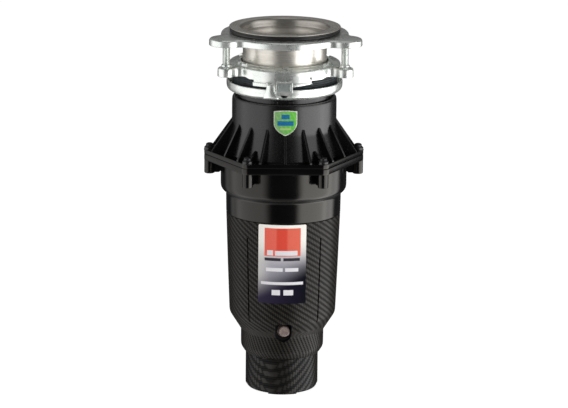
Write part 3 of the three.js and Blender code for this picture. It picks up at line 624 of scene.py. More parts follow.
def circuit_board():
    """Green board with a grid of copper tracks."""
    look = Look("circuit_board", roughness=0.4)
    track = look.within(look.math("PINGPONG", look.x, 2.5), 1.9, 3, 0.1)
    grain = look.noise(1.5)
    look.set(Base_Color=look.mix(track, srgb(40, 96, 52), srgb(120, 128, 60)))
    look.set(Roughness=look.spread(grain, 0.3, 0.5))
    look.bump(track, 0.03)
    return look.material


LOOKS = {
    "stainless": brushed_stainless(),
    "zinc": bright_zinc(),
    # A darker copy of the bright zinc: painted shade on the lock ring's tab panels.
    "zinc_shade_copy": grained("zinc_painted_shade", (158, 168, 165), (184, 192, 189), 0.8, 0.4, 1.5),
    "steel": grained("steel_turned", (128, 130, 132), (176, 178, 180), 1, 0.34, 1.2),
    "screw_steel": grained("steel_blackened", (38, 38, 40), (66, 66, 68), 0.9, 0.36, 1),
    "aluminium": grained("aluminium_cast", (150, 152, 154), (188, 190, 192), 1, 0.5, 1.6),
    "rubber": ribbed_rubber(),
    "gloss_black": gloss_black(),
    "hopper_black": satin_black(),
    "carbon_print": carbon_print(),
    "black_plastic": grained("plastic_black", (6, 6, 6), (14, 14, 14), 0, 0.42, 0.9),
    "recess_black": matt_black(),
    "button": grained("plastic_button", (104, 90, 86), (130, 116, 110), 0, 0.36, 0.8),
    "label": label_print(),
    "badge": badge_print(),
    "foam": grained("foam_grey", (26, 27, 28), (46, 47, 49), 0, 0.92, 2.2, 0.4, 0.05),
    "copper": grained("copper_wire", (150, 82, 44), (204, 122, 74), 1, 0.36, 0.8, 0.1),
    "brush_carbon": grained("carbon_block", (36, 36, 38), (66, 66, 68), 0.1, 0.72, 0.7),
    "ferrite": grained("ferrite_dark", (46, 46, 49), (76, 76, 79), 0.2, 0.66, 1),
    "circuit": circuit_board(),
}


# ---- sink mount

SCREW_CIRCLE = 69.3
SCREW_AZIMUTHS = (-60, 60, 180)


def planar(radius, angle):
    return radius * Vector((math.cos(angle), math.sin(angle)))


def arc(centre, radius, start, end, steps):
    """Points of an arc between two angles, without its last point."""
    return [centre + planar(radius, start + (end - start) * i / steps) for i in range(steps)]


def wrapped(angle):
    """An angle brought between minus and plus half a turn."""
    return math.remainder(angle, 2 * math.pi)


def eared(disc, ear, fillet, inset=0.0):
    """The outline of a pressed plate: a disc with a filleted ear at each mount screw."""
    to_fillet, ear_to_fillet = disc + fillet, ear + fillet
    cosine = (to_fillet**2 + SCREW_CIRCLE**2 - ear_to_fillet**2) / (2 * to_fillet * SCREW_CIRCLE)
    spread = math.acos(cosine)
    hollow, bulge = fillet + inset, ear - inset
    outline = []
    for azimuth in SCREW_AZIMUTHS:
        middle = math.radians(azimuth - 90)
        centre = planar(SCREW_CIRCLE, middle)
        before, after = (planar(to_fillet, middle + turn) for turn in (-spread, spread))

        def towards(start, end):
            """The angle from one point to another, near the ear's own."""
            away = end - start
            return middle + wrapped(math.atan2(away.y, away.x) - middle)

        entry, leave = middle - spread + math.pi, towards(before, centre)
        outline += arc(before, hollow, entry, entry + wrapped(leave - entry), 14)
        start = towards(centre, before)
        outline += arc(centre, bulge, start, 2 * middle - start, 26)
        back, last = towards(after, centre), middle + spread + math.pi
        outline += arc(after, hollow, back, back + wrapped(last - back), 14)
        gap = 2 * math.pi / 3 - 2 * spread
        outline += arc(Vector((0, 0)), disc - inset, middle + spread, middle + spread + gap, 40)
    return outline


def pressed_plate(size, inner_rings, skirt_foot, top, sheet=2.5, bend=2.8):
    """A plate whose skirt hangs from its outline. The inner rings are (radius, height) circles."""
    inside_bend = bend - 1.2
    under = top - sheet
    angles = [math.atan2(point.y, point.x) for point in eared(*size, bend)]
    quarter = [math.pi / 2 * i / 5 for i in range(6)]

    def ring(inset, z):
        return [Vector((point.x, point.y, z)) for point in eared(*size, inset)]

    def bent_edge(radius, inset, height):
        """A quarter bend from the skirt to the flat."""
        turns = [(1 - math.cos(a), 1 - math.sin(a)) for a in quarter]
        return [ring(inset + radius * inward, height - radius * down) for inward, down in turns]

    return loft(
        [
            ring(0.5, skirt_foot),
            ring(0, skirt_foot + 0.5),
            *bent_edge(bend, 0, top),
            *(circle(radius, angles, z) for radius, z in inner_rings),
            *bent_edge(inside_bend, sheet, under)[::-1],
            ring(sheet, skirt_foot + 0.5),
            ring(sheet - 0.5, skirt_foot),
        ]
    )


def bent(shape, rise):
    """Moves each point up by an amount that depends on its azimuth and its height."""
    moved = []
    for x, y, z in shape.points:
        azimuth = math.degrees(math.atan2(x, -y))
        moved.append((x, y, z + rise(azimuth, z)))
    return Shape(moved, shape.faces)


def threaded_rod(radius, depth, pitch, bottom, top):
    """A rod with a helical groove, and plain tapered ends."""
    sides = 36
    rows = math.ceil((top - bottom) / pitch * 8)
    rings = [[Vector((0, 0, bottom))] * sides]
    for row in range(rows + 1):
        z = bottom + (top - bottom) * row / rows
        end_fade = min(1, (z - bottom) / pitch, (top - z) / pitch)
        ring = []
        for i in range(sides):
            phase = (z / pitch + i / sides) % 1
            groove = abs(2 * phase - 1)
            size = radius - depth * (1 - end_fade * (1 - groove))
            ring.append(polar(size, -360 * i / sides, z))
        rings.append(ring)
    rings.append([Vector((0, 0, top))] * sides)
    return loft(rings, closed=False)


RIM_THICKNESS = 1


def build_sink_flange():
    """One spun sheet: a crowned rim, a rounded throat, and a sleeve with a rolled bead."""
    sleeve_foot, rim_top = bottom_of("sink_flange"), top_of("sink_flange") + 0.4
    sleeve, bore, rim = 42.9, 41.7, 57
    underside = rim_top - RIM_THICKNESS
    profile = [
        (bore, sleeve_foot, 0.5), (sleeve, sleeve_foot, 0.5), (sleeve, 340, 0.1),
        (42.3, 340, 0.1), (42.3, 342.2, 0.1), (sleeve, 342.2, 0.1), (sleeve, 363.8, 0.2),
        (sleeve + 0.25, 364.4, 0.3), (sleeve + 0.25, 373.5, 1.5), (44.6, 376.6, 2),
        (48, underside, 2), (rim - 0.4, underside, 0.2), (rim, underside + 0.4, 0.3),
        (rim - 0.2, rim_top - 0.2, 0.3), (rim - 1.4, rim_top, 0.8), (46.4, rim_top - 0.1, 2.2),
        (44.5, rim_top - 2.8, 2), (43.4, rim_top - 8.7, 0.3), (42.9, rim_top - 9.1, 0.2),
        (42.8, rim_top - 9.9, 0.3), (bore, rim_top - 15.6, 3),
    ]
    shape = turned(profile, segments=192)
    add_piece("sink_flange_spun", shape, "stainless", "sink_flange")


def build_sink_gasket():
    foot, top = bottom_of("sink_gasket"), top_of("sink_flange") + 0.3 - RIM_THICKNESS
    middle = (foot + top) / 2
    profile = [(48.2, foot), (56, foot, 0.8), (56.6, foot + 1.4, 0.4), (56.1, middle, 0.3)]
    profile += [(56.7, top - 0.9, 0.4), (56.2, top, 0.4), (48.2, top)]
    shape = turned(profile, 0.3)
    look = grained("rubber_smooth", (17, 15, 15), (28, 25, 25), 0, 0.36, 1.4)
    add_piece("sink_gasket_ring", shape, "rubber", "sink_gasket", body="clamp_plate", look=look)


def build_support_flange():
    top = top_of("support_flange")
    hole = 46.5
    inner = [(58, top), (hole + 1.2, top), (hole, top - 0.8), (hole, top - 2)]
    inner += [(hole + 0.8, top - 2.5), (58, top - 2.5)]
    plate = pressed_plate((65.3, 17.5, 12), inner, bottom_of("support_flange"), top)
    add_piece("support_flange_pressing", plate, "zinc", "support_flange", body="clamp_plate")


def build_mounting_flange():
    """The lower plate: skirt, ears, a raised centre ring with spots, and three rising ramps."""
    top = 345.4
    skirt_foot, ramp_foot = 336.5, bottom_of("mounting_flange")
    under = top - 2.5
    inner = [(51.6, top), (50.4, top + 0.3), (49.8, top + 0.9), (48.6, top + 1.4)]
    inner += [(47.6, top + 1.6), (45.8, top + 1.6), (45, top + 1.1), (44.8, top)]
    inner += [(44.8, under + 0.4), (45.3, under), (51.6, under)]

    def drop(azimuth, z):
        """The skirt hangs lower between the ears, where no tab passes under it."""
        from_ear = 60 - abs((azimuth + 60) % 120 - 60)
        share = min(max((from_ear - 15) / 4, 0), 1)
        return -(0.7 + 1.5 * share) if z < skirt_foot + 1 else 0

    plate = bent(pressed_plate((57, 8.8, 7), inner, skirt_foot, top), drop)
    ramp_profile = [
        (55, ramp_foot - 2.2), (58.6, ramp_foot - 2.2), (58.9, ramp_foot + 1.5),
        (57.05, ramp_foot + 1.5), (57.05, skirt_foot + 3), (55, skirt_foot + 3),
    ]
    ramp_start, ramp_end = -34.5, 27

    def rise(azimuth, z):
        """The ramp's foot climbs over its second half; the lip's top stays under the tab's hook."""
        share = min(max((azimuth - 3) / (ramp_end - 3), 0), 1)
        return 2.9 * share if z < ramp_foot else 0

    ramp = bent(sector(ramp_profile, ramp_start, ramp_end, 0.35), rise)
    stop = fin([(56.4, 335.8), (59.6, 335.8), (59.6, 338.4), (56.4, 338.4)], 1.6).at(ramp_end)
    collar_foot, collar_top = top - 0.6, 347.9
    collar_profile = [(4.3, 343.2), (7.2, 343.2), (7.2, collar_foot)]
    collar_profile += [(5.2, 346.2), (4.9, collar_top), (4.3, collar_top)]
    collar = turned(collar_profile, 0.35, SMALL_SEGMENTS).moved(y=-SCREW_CIRCLE)
    spot = fin([(48.2, top), (52.4, top), (51.8, top + 2.2), (48.8, top + 2.8)], 4.6)
    spots = [azimuth + offset for azimuth in THIRDS for offset in (-55, 0, 55)]
    add_piece("mounting_flange_pressing", plate, "zinc", "mounting_flange")
    details = repeated(ramp, THIRDS) + repeated(stop, THIRDS) + repeated(spot, spots)
    details += repeated(collar, SCREW_AZIMUTHS)
    add_piece("mounting_flange_details", details, "zinc", edge=0.3)


def build_mount_screws():
    """M8 rods. Their pitch matches the coupling of their turn to the plate's travel."""
    foot, tip = heights("mount_screw_1")
    for i, azimuth in enumerate(SCREW_AZIMUTHS):
        thread = threaded_rod(3.9, 0.55, 1.25, foot, tip).moved(y=-SCREW_CIRCLE).at(azimuth)
        node = f"mount_screw_{i + 1}"
        screw = add_piece(f"{node}_thread", thread, "zinc", node, body=f"{node}_body")
        middle = polar(SCREW_CIRCLE, azimuth)
        carve(screw, [block(10, 1.2, foot - 1, foot + 2).moved(middle.x, middle.y)])


def lever_ear():
    """A swelling on the front of the lock ring: half an ellipse that narrows upwards."""
    depth, foot = 2.8, 316.6
    steps = [(0, 0, 7), (0.3, 0.4, 7.6), (1.4, 0.75, 7.8), (3.6, 0.95, 7.4), (6.4, 1, 6.4)]
    steps += [(9, 1, 5.2), (12.4, 0.95, 4.7), (14.6, 0.75, 4.4), (15.6, 0.5, 4), (15.9, 0, 3.4)]
    rings = []
    for rise, share, half in steps:
        turns = [math.pi * i / 16 for i in range(17)]
        out = [(half * math.cos(a), depth * share * math.sin(a)) for a in turns]
        rings.append([Vector((x, -58.3 - bulge, foot + rise)) for x, bulge in out])
    return loft(rings, closed=False)


def build_lock_ring():
    """A dished ring with three hooked tabs, and beside each a rolled lever ear."""
    profile = [
        (47.7, 314.5), (51, 314.5, 1.5), (55.5, 315.5, 2), (58.5, 318, 2),
        (59.4, 320.8, 1.5), (59.4, 325.6, 0.7), (58.9, 326.4, 0.5), (57.6, 326.4, 0.5),
        (57.6, 319.6, 1.5), (54.8, 317.2, 1.5), (51, 316.1, 1), (47.7, 316.1),
    ]
    dish = turned(profile, 0.4, 180)
    tab = [
        (58.2, 318.2), (60.2, 318.6), (61.2, 320.6), (61.2, 334.2), (60.3, 335.3), (58.1, 335.3),
        (58.1, 333.6), (59.4, 333.6), (59.7, 332.8), (59.7, 326), (58.2, 325.4),
    ]
    fold = fin([(60.6, 323.8), (61.8, 324.2), (61.8, 334.6), (60.6, 335.1)], 16.4)
    panel = fin([(61.2, 325.4), (62.4, 325.8), (62.4, 333), (61.2, 333.4)], 12.4)
    rib = fin([(59.4, 331), (61.6, 331.4), (61.4, 333.8), (59.4, 334.2)], 2.2)
    tab_azimuths = [azimuth - 1.6 for azimuth in THIRDS]
    ear_azimuths = [azimuth - 15 for azimuth in THIRDS]
    ring = add_piece("lock_ring_dish", dish, "zinc", "lock_ring", body="lock_ring_body")
    plates = repeated(fin(tab, 16), tab_azimuths)
    tabs = add_piece("lock_ring_tabs", plates, "zinc", body="lock_ring_body")
    folds = repeated(fold, tab_azimuths)
    add_piece("lock_ring_folds", folds, "zinc", body="lock_ring_body", edge=0.5)
    panels = repeated(panel, tab_azimuths)
    # The tab panels take the darker copy of the zinc: painted shade.
    shade_copy = LOOKS["zinc_shade_copy"]
    add_piece("lock_ring_panels", panels, "zinc", body="lock_ring_body", look=shade_copy, edge=0.4)
    half_round = arc(Vector((0, 321.8)), 3.7, math.pi, 2 * math.pi, 12)
    windows = [facing(half_round, 50, 70).at(azimuth) for azimuth in tab_azimuths]
    for thing in (ring, tabs):
        carve(thing, windows)
        bevel(thing, 0.4)
    ears = repeated(lever_ear() + rib.at(-3.2) + rib.at(3), ear_azimuths)
    add_piece("lock_ring_ears", ears, "zinc", body="lock_ring_body", crease=60)


def build_cushion():
    """The collar's outside is moulded in narrow rings."""
    foot, top = heights("cushion_mount")
    outside = []
    pitch = 2.2
    for i in range(9):
        z = foot + 1.6 + pitch * i
        outside += [(53.8, z, 0.2), (53.8, z + 1.3, 0.2), (53.1, z + 1.5, 0.1), (53.1, z + 2, 0.1)]
    profile = [
        (37.8, foot), (53.2, foot), *outside, (53.8, top - 2), (52, top), (45.4, top),
        (45.4, 339.6), (43.4, 339.6), (43.4, 325.8), (37.8, 325.8),
    ]
    add_piece("cushion_mount_collar", turned(profile), "rubber", "cushion_mount")


def build_splash_guard():
    """A dished baffle: a rim bead, then eight flaps that meet round the hole."""
    foot = bottom_of("splash_guard")
    profile = [
        (14, foot), (36.4, foot + 3.8, 2), (37.2, foot + 5.5, 0.3), (41, foot + 5.5, 0.6),
        (41, foot + 8.4, 0.8), (39, foot + 8.4, 1), (36.2, foot + 5.7, 1),
        (14, foot + 1.8),
    ]
    shape, node = turned(profile, 0.5), "splash_guard"
    guard = add_piece("splash_guard_baffle", shape, "rubber", node, body="splash_guard_body")
    slit = block(1, 23, foot - 3, foot + 12).moved(y=-21.5)
    carve(guard, [slit.at(22.5 + 45 * i) for i in range(8)])


# ---- grinding section

CORNER_CIRCLE = 76.3
FLANGE_JOINT = 247.7  # height of the joint between hopper and grind housing
HOPPER_FLANGE_TOP = 252.5
OUTLET_HEIGHT = 207
OUTLET_SCREW_X = 27.5


def flange_outline(inset=0.0):
    """The hexagonal flange's outline: straight sides between six rounded corners."""
    corners = [polar(CORNER_CIRCLE - 3.45, azimuth) for azimuth in SIXTHS]
    return band([(corner.x, corner.y, 9 - inset) for corner in corners])


def flange_reach(azimuth, edge=1.2):
    """How far out the hexagonal flange reaches at an azimuth, less an edge."""
    apothem = CORNER_CIRCLE * math.cos(math.radians(30)) + 6 - edge
    from_side = (azimuth + 30) % 60 - 30
    return apothem / math.cos(math.radians(from_side))


def flange_plate(bottom, top, hole):
    """A hexagonal plate with rounded edges and a round hole."""
    edge = 0.7
    levels = [(edge, bottom), (0.2, bottom + 0.2), (0, bottom + edge)]
    levels += [(0, top - edge), (0.2, top - 0.2), (edge, top)]
    rings = [[Vector((x, y, z)) for x, y in flange_outline(inset)] for inset, z in levels]
    angles = [math.atan2(point.y, point.x) for point in rings[0]]
    return loft(rings + [circle(hole, angles, z) for z in (top, bottom)])


def build_hopper():
    foot, top = FLANGE_JOINT + 0.2, top_of("hopper")
    wall = 53.6
    body = turned(
        [
            (58.2, foot), (62.5, foot), (62.4, HOPPER_FLANGE_TOP - 0.5), (wall, 277.5, 3),
            (wall, 305.2, 2), (53.2, 308.4, 1.6), (51.6, 309.8, 1.2), (50, 309.2, 0.6),
            (49.6, 306.4, 0.4), (48.2, 306.4, 0.4), (47.8, 310.2, 1), (47, 316.3),
            (51, 316.3), (51, top), (42, top), (42, 309.2), (50.4, 303.5), (50.4, 278),
            (58.2, 254),
        ],
        0.4,
        180,
    )
    add_piece("hopper_body", body, "hopper_black", "hopper")
    flange = flange_plate(foot, HOPPER_FLANGE_TOP, 60)
    add_piece("hopper_flange", flange, "gloss_black")
    ribs = []
    for i in range(RIB_COUNT):
        azimuth = 360 * i / RIB_COUNT
        rib_top = 277.4 if i == 0 else 284  # the front rib stops under the badge
        reach = flange_reach(azimuth)
        corners = [(60, 252), (reach, 252), (reach, 253.6), (54.3, rib_top)]
        corners += [(52.4, rib_top), (52.4, 277)]
        ribs.append(fin(corners, 2.4).at(azimuth))
    add_piece("hopper_ribs", combined(ribs), "hopper_black", edge=0.8)
    nub = fin([(46.6, 309.4), (48.9, 309.4), (48.7, 312.4), (46.6, 313)], 4.6)
    nubs = [azimuth + offset for azimuth in THIRDS for offset in (-12, 7)]
    add_piece("hopper_stops", repeated(nub, nubs), "hopper_black", edge=0.6)
    gusset = fin([(58.6, 252), (72.4, 252), (72.4, 255.4), (60.6, 262), (58.2, 262)], 2.4)
    boss = turned([(2.9, 252), (6.2, 252), (5.5, 253.2), (5.5, 255.1), (2.9, 255.1)], 0.5, 40)
    corners = repeated(gusset + boss.moved(y=-CORNER_CIRCLE), SIXTHS)
    add_piece("hopper_corners", corners, "hopper_black", edge=0.4)


def build_spigot():
    """The dishwasher inlet, closed by a wall that is knocked out when the inlet is used."""
    profile = [
        (0, 51.5), (10.5, 51.5), (10.5, 71.5, 0.8), (11.5, 73.6, 0.6), (11.5, 75, 0.6),
        (10.2, 78, 0.4), (8, 78, 0.4), (8, 56, 0.6), (0, 56),
    ]
    collar = turned([(10, 50), (13, 50), (10.4, 58.5), (10, 58.5)], 0.5, 48)
    spigot = (turned(profile, 0.3, 48) + collar).laid_back(294)
    add_piece("hopper_dishwasher_spigot", spigot, "hopper_black")


def build_housing_screws():
    """Blackened pan head screws with a slot, standing on the bosses."""
    seat = 255.2
    shape = turned(
        [
            (0, 234), (2.4, 234), (2.4, seat), (3, seat), (4.6, seat, 0.3),
            (4.6, seat + 0.7, 0.3), (3.9, seat + 1, 0.3), (3.9, seat + 2.9, 1.2),
            (2.4, seat + 3.9, 1.2), (0, seat + 4.1),
        ],
        0.2,
        SMALL_SEGMENTS,
    )
    slot = block(10, 1.1, seat + 2.3, seat + 6)
    for i, azimuth in enumerate(SIXTHS):
        node = f"housing_screw_{i + 1}"
        middle = polar(CORNER_CIRCLE, azimuth)
        placed = shape.moved(middle.x, middle.y)
        screw = add_piece(f"{node}_head", placed, "screw_steel", node)
        turn = Matrix.Rotation(math.radians(37 * i), 4, "Z")
        carve(screw, [slot.transformed(turn).moved(middle.x, middle.y)])


def outlet_outline():
    return band([(0, 0, 22.5), (-OUTLET_SCREW_X, 0, 6.5), (OUTLET_SCREW_X, 0, 6.5)])


def build_grind_housing():
    foot = top_of("trim_shell") + 0.3
    flange_foot = 241.5
    outside = [
        (56.4, foot, 0.4), (58.9, foot, 0.6), (59.2, 208, 0.8), (60, 209.4, 0.8),
        (63.2, 212.1, 1.6), (64.5, 214.4, 1.6), (64.8, 217.6, 1), (64.8, FLANGE_JOINT, 0.2),
    ]
    inside = [
        (61, FLANGE_JOINT), (61, 221.7), (57, 221.7), (57, 211), (55.3, 206),
        (55.3, 193.5), (53.8, 192), (16, 192), (14.5, 193), (14.5, 200), (11.3, 200),
        (11.3, 193.6), (6.8, 193.6), (6.8, 186.6), (16.3, 186.6), (16.3, 176), (20, 176),
        (20, foot + 0.7), (55.8, foot + 0.7),
    ]
    body = turned(outside + inside, 0.4, 180)
    cup = add_piece("grind_housing_cup", body, "gloss_black", "grind_housing")
    passage = rod(14.2, 40, 90, 48).laid_back(OUTLET_HEIGHT)
    carve(cup, [passage])
    flange = flange_plate(flange_foot, FLANGE_JOINT, 62)
    add_piece("grind_housing_flange", flange, "gloss_black")
    column = turned([(0, 227.4), (5.4, 227.4, 1.4), (5.4, 242), (0, 242)], 0.4, 40)
    web = fin([(63.6, 231), (66.5, 228.4), (76, 228.4), (76, 242), (63.6, 242)], 4.6)
    corners = repeated(column.moved(y=-CORNER_CIRCLE) + web, SIXTHS)
    add_piece("grind_housing_corners", corners, "gloss_black", edge=0.6)
    boss = prism(outlet_outline(), 57.6, 76).laid_back(OUTLET_HEIGHT)
    outlet = add_piece("grind_housing_outlet", boss, "gloss_black", edge=0.6)
    hole = rod(2.6, 60, 90, 24).laid_back(OUTLET_HEIGHT)
    holes = [hole.moved(x=side * OUTLET_SCREW_X) for side in (-1, 1)]
    carve(outlet, [rod(60.4, 170, 250, 96), passage, *holes])
    bevel(outlet, 0.6)


# ---- outlet


def build_elbow():
    """A moulded pipe bend: straight back, a quarter turn down, and a bead round its mouth."""
    flange_front, bend_start, bend, mouth = 79.1, 86, 28, 158
    outer, bore = 19, 16.2
    quarter = math.pi / 2

    def section(radius, turn, start=bend_start, drop=0.0):
        """A circle across the centre line, at a turn of the bend."""
        back = start + bend * math.sin(turn)
        height = OUTLET_HEIGHT - bend * (1 - math.cos(turn)) - drop
        ring = []
        for i in range(56):
            angle = 2 * math.pi * i / 56
            across, lift = radius * math.cos(angle), radius * math.sin(angle)
            ring.append(Vector((across, back + lift * math.sin(turn), height + lift * math.cos(turn))))
        return ring

    def run(radius):
        """The straight length and the bend of one surface."""
        straight = [section(radius, 0, flange_front)]
        return straight + [section(radius, quarter * i / 20) for i in range(21)]

    drop = OUTLET_HEIGHT - bend - mouth
    tail = [(outer, drop * 0.62), (outer + 0.9, drop * 0.68), (outer + 0.9, drop * 0.8)]
    tail += [(outer, drop * 0.86), (outer, drop - 0.5), (outer - 0.5, drop)]
    tail += [(bore + 0.5, drop), (bore, drop - 0.5)]
    lip = [section(radius, quarter, drop=fall) for radius, fall in tail]
    pipe = loft(run(outer) + lip + run(bore)[::-1])
    collar = [(16.7, flange_front), (22.3, flange_front), (22.3, 81.9), (19.8, 82)]
    collar += [(18.8, 83.4), (16.7, 83.4)]
    elbow = pipe + turned(collar, 0.5, 56).laid_back(OUTLET_HEIGHT)
    add_piece("discharge_elbow_pipe", elbow, "black_plastic", "discharge_elbow", body="elbow")


def build_elbow_clamp():
    """The clamp flange with its two screws, and the gasket in front of it."""
    node = "elbow_clamp_flange"
    front, back = (corner.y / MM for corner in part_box(node))
    plate = prism(outlet_outline(), front, back).laid_back(OUTLET_HEIGHT)
    clamp = add_piece("elbow_clamp_plate", plate, "zinc", node)
    carve(clamp, [rod(19.9, 70, 95, 56).laid_back(OUTLET_HEIGHT)])
    bevel(clamp, 0.5)
    seat = back + 0.3
    profile = [(0, 62), (2.2, 62), (2.2, seat), (4.8, seat), (4.8, seat + 1.8, 0.8)]
    profile += [(3.2, seat + 3.2, 1.2), (0, seat + 3.4)]
    screw = turned(profile, 0.2, SMALL_SEGMENTS).laid_back(OUTLET_HEIGHT)
    slot = block(12, 1, seat + 1.8, seat + 5).laid_back(OUTLET_HEIGHT)
    for i, x in enumerate((OUTLET_SCREW_X, -OUTLET_SCREW_X)):
        node = f"elbow_screw_{i + 1}"
        carve(add_piece(f"{node}_head", screw.moved(x=x), "steel", node), [slot.moved(x=x)])
    near, far = front - 5.9, front - 3.4
    gasket = turned([(16.4, near), (22, near), (22, far), (16.4, far)], 0.7, 56)
    add_piece("elbow_gasket_ring", gasket.laid_back(OUTLET_HEIGHT), "rubber", "elbow_gasket")


# ---- casing

GLAND_HEIGHT = 53
SHELL_TOP = 187.5
SHELL_STEP = (42.9, 62.6)
SHELL_WAIST = (54.9, 81.5)
SHELL_MIDDLE = (57, 134.7)
SHELL_OUTSIDE = (SHELL_STEP, SHELL_WAIST, SHELL_MIDDLE, (58.8, SHELL_TOP))


def shell_radius(z):
    """The outside radius of the shell at a height."""
    for (low_radius, low), (high_radius, high) in zip(SHELL_OUTSIDE, SHELL_OUTSIDE[1:]):
        if z <= high:
            share = max((z - low) / (high - low), 0)
            return low_radius + share * (high_radius - low_radius)
    return SHELL_OUTSIDE[-1][0]


def recess_outline(margin=0.0):
    """The button's recess from the front: a flat top with round corners and a round foot."""
    half = 8.65 + margin
    middle, top = 67.2, 80 + margin
    corner = 2.2
    outline = arc(Vector((0, middle)), half, math.pi, 2 * math.pi, 28) + [Vector((half, middle))]
    outline += arc(Vector((half - corner, top - corner)), corner, 0, math.pi / 2, 8)
    outline += arc(Vector((corner - half, top - corner)), corner, math.pi / 2, math.pi, 8)
    return outline


def facing(outline, near, far):
    """An outline seen from the front, between two distances in front of the axis."""
    upright = Matrix.Rotation(math.radians(90), 4, "X")
    return prism(outline, near, far).transformed(upright)


def build_shell():
    """The printed shell: a cone between two steps, slits with round heads, and the recess."""
    foot = bottom_of("trim_shell")
    outside = [
        (38.4, foot, 0.3), (39.8, foot + 1.7, 0.8), (42.3, foot + 5.7, 2),
        (42.8, foot + 8.2, 1.5), (*SHELL_STEP, 1.6), (*SHELL_WAIST, 3.2), (*SHELL_MIDDLE, 8),
        (58.8, SHELL_TOP - 0.6, 0.3), (58.4, SHELL_TOP, 0.3),
    ]
    inside = [(radius - 2.5, z) for radius, z, _ in outside[:1:-1]]
    profile = outside + inside + [(38.2, foot + 6.2), (35.2, foot + 2.5), (35.2, foot)]
    shape = turned(profile, 0.3, 180)
    shell = add_piece("trim_shell_print", shape, "carbon_print", "trim_shell")
    slit = fin([(52.3, 79.5), (57, 168.6), (70, 168.6), (70, 79.5)], 1.6)
    head = rod(1, 40, 70, 20).laid_back(168.8).at(180)
    slots = [part.at(azimuth) for azimuth in (-40, 40, 140, 220) for part in (slit, head)]
    gland_hole = rod(7.5, 30, 60, 40).laid_back(GLAND_HEIGHT)
    carve(shell, [facing(recess_outline(), 36, 70), gland_hole, *slots])
    bevel(shell, 0.35, segments=2, limit=40)


def build_recess():
    """The dark cup of the recess: a rim along the shell's outside, a wall, and a floor."""
    floor = 41
    rings = []
    for margin, lift in ((0.06, -0.9), (0, -0.25), (-0.15, -0.1), (-0.35, -0.35)):
        rings.append([])
        for x, z in recess_outline(margin):
            front = math.sqrt(shell_radius(z) ** 2 - x**2)
            rings[-1].append(Vector((x, -front - lift, z)))
    for margin, front in ((-0.45, floor + 0.4), (-0.85, floor)):
        rings.append([Vector((x, -front, z)) for x, z in recess_outline(margin)])
    middle = sum(heights("reset_button")) / 2
    angles = [math.atan2(point.z - middle, point.x) for point in rings[-1]]
    for radius, front in ((7.4, floor), (7, floor - 0.3), (7, floor - 2.5)):
        circle_points = [(radius * math.cos(a), radius * math.sin(a)) for a in angles]
        rings.append([Vector((x, -front, middle + up)) for x, up in circle_points])
    shape = loft(rings, closed=False)
    add_piece("trim_shell_recess", shape, "black_plastic", look=LOOKS["recess_black"])


def build_base_cap():
    """A cup with three pads; the spigot inside it fits the shell."""
    shoulder = 38.4
    profile = [
        (0, 0), (33, 0, 1.5), (36, 1.4, 2), (37, 5.4, 3), (37, shoulder, 0.4),
        (34.9, shoulder), (34.9, 44.5), (32.4, 44.5), (32.4, 3), (0, 3),
    ]
    pad = [
        (35, 0), (36.4, 0, 0.8), (37.9, 2.2, 1.4), (37.9, shoulder - 0.7, 0.5),
        (37.4, shoulder, 0.5), (35, shoulder),
    ]
    cup = turned(profile, 0.4)
    add_piece("base_cap_cup", cup, "carbon_print", "base_cap")
    pads = repeated(sector(pad, -23.5, 23.5), THIRDS)
    add_piece("base_cap_pads", pads, "carbon_print", edge=0.5)


def build_button():
    """A push button with a shallow dish in its face, and a rim behind the shell."""
    height = sum(heights("reset_button")) / 2 + 0.4
    face, back = (corner.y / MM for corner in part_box("reset_button"))
    radius = 5.9
    profile = [
        (0, face + 0.5), (3.4, face + 0.4, 1), (4.7, face, 0.8), (radius, face + 1.1, 0.8),
        (radius, back - 0.9, 0.2), (7.6, back - 0.9), (7.6, back), (0, back),
    ]
    button = turned(profile, 0.3, 64).laid_back(height).moved(x=1.1)
    add_piece("reset_button_cap", button, "button", "reset_button", body="reset_button_body")


def build_gland():
    """A cable gland with grips on its cap, and an open bore."""
    profile = [
        (4, 33.6), (8.2, 33.6), (8.2, 37.2), (7, 37.2), (7, 43.2), (9.4, 43.2), (9.4, 46.5),
        (8.3, 46.8), (8.3, 54.6, 1), (7, 57.5, 0.8), (5.6, 57.5, 0.4), (4, 56, 0.8),
    ]
    grip = prism([(-1.1, 7.9), (1.1, 7.9), (0.8, 8.8), (-0.8, 8.8)], 47.4, 53.8)
    grips = repeated(grip, range(0, 360, 45)).laid_back(GLAND_HEIGHT)
    gland = turned(profile, 0.4, 48).laid_back(GLAND_HEIGHT)
    add_piece("cord_gland_body", gland, "black_plastic", "cord_gland")
    add_piece("cord_gland_grips", grips, "black_plastic", edge=0.3)


def draped(outline, surface, near, far, step=1.0):
    """A thin sheet cut to an outline seen from the front, that follows a turned surface."""
    flat = make_mesh("flat", prism(outline, -0.5, 0.5), 30)
    work = bmesh.new()
    work.from_mesh(flat)
    bpy.data.meshes.remove(flat)
    for axis in (Vector((1, 0, 0)), Vector((0, 1, 0))):
        reach = [point.dot(axis.xy) for point in outline]
        at = min(reach) + step
        while at < max(reach) - step / 4:
            everything = work.verts[:] + work.edges[:] + work.faces[:]
            bmesh.ops.bisect_plane(work, geom=everything, plane_co=axis * at * MM, plane_no=axis)
            at += step
    points = []
    for vert in work.verts:
        x, z = vert.co.x / MM, vert.co.y / MM
        radius = surface(z) + (far if vert.co.z > 0 else near)
        points.append((x, -math.sqrt(radius**2 - x**2), z))
    work.verts.index_update()
    faces = [[vert.index for vert in face.verts] for face in work.faces]
    work.free()
    return Shape(points, faces)


def build_label():
    foot, top = heights("label_plate")
    left, right = LABEL_MIDDLE - LABEL_HALF, LABEL_MIDDLE + LABEL_HALF
    corners = [(left, foot), (right, foot), (right, top), (left, top)]
    shape = draped(rounded(corners, 1.6), shell_radius, 0.15, 0.65, step=2)
    add_piece("label_plate_sheet", shape, "label", "label_plate")


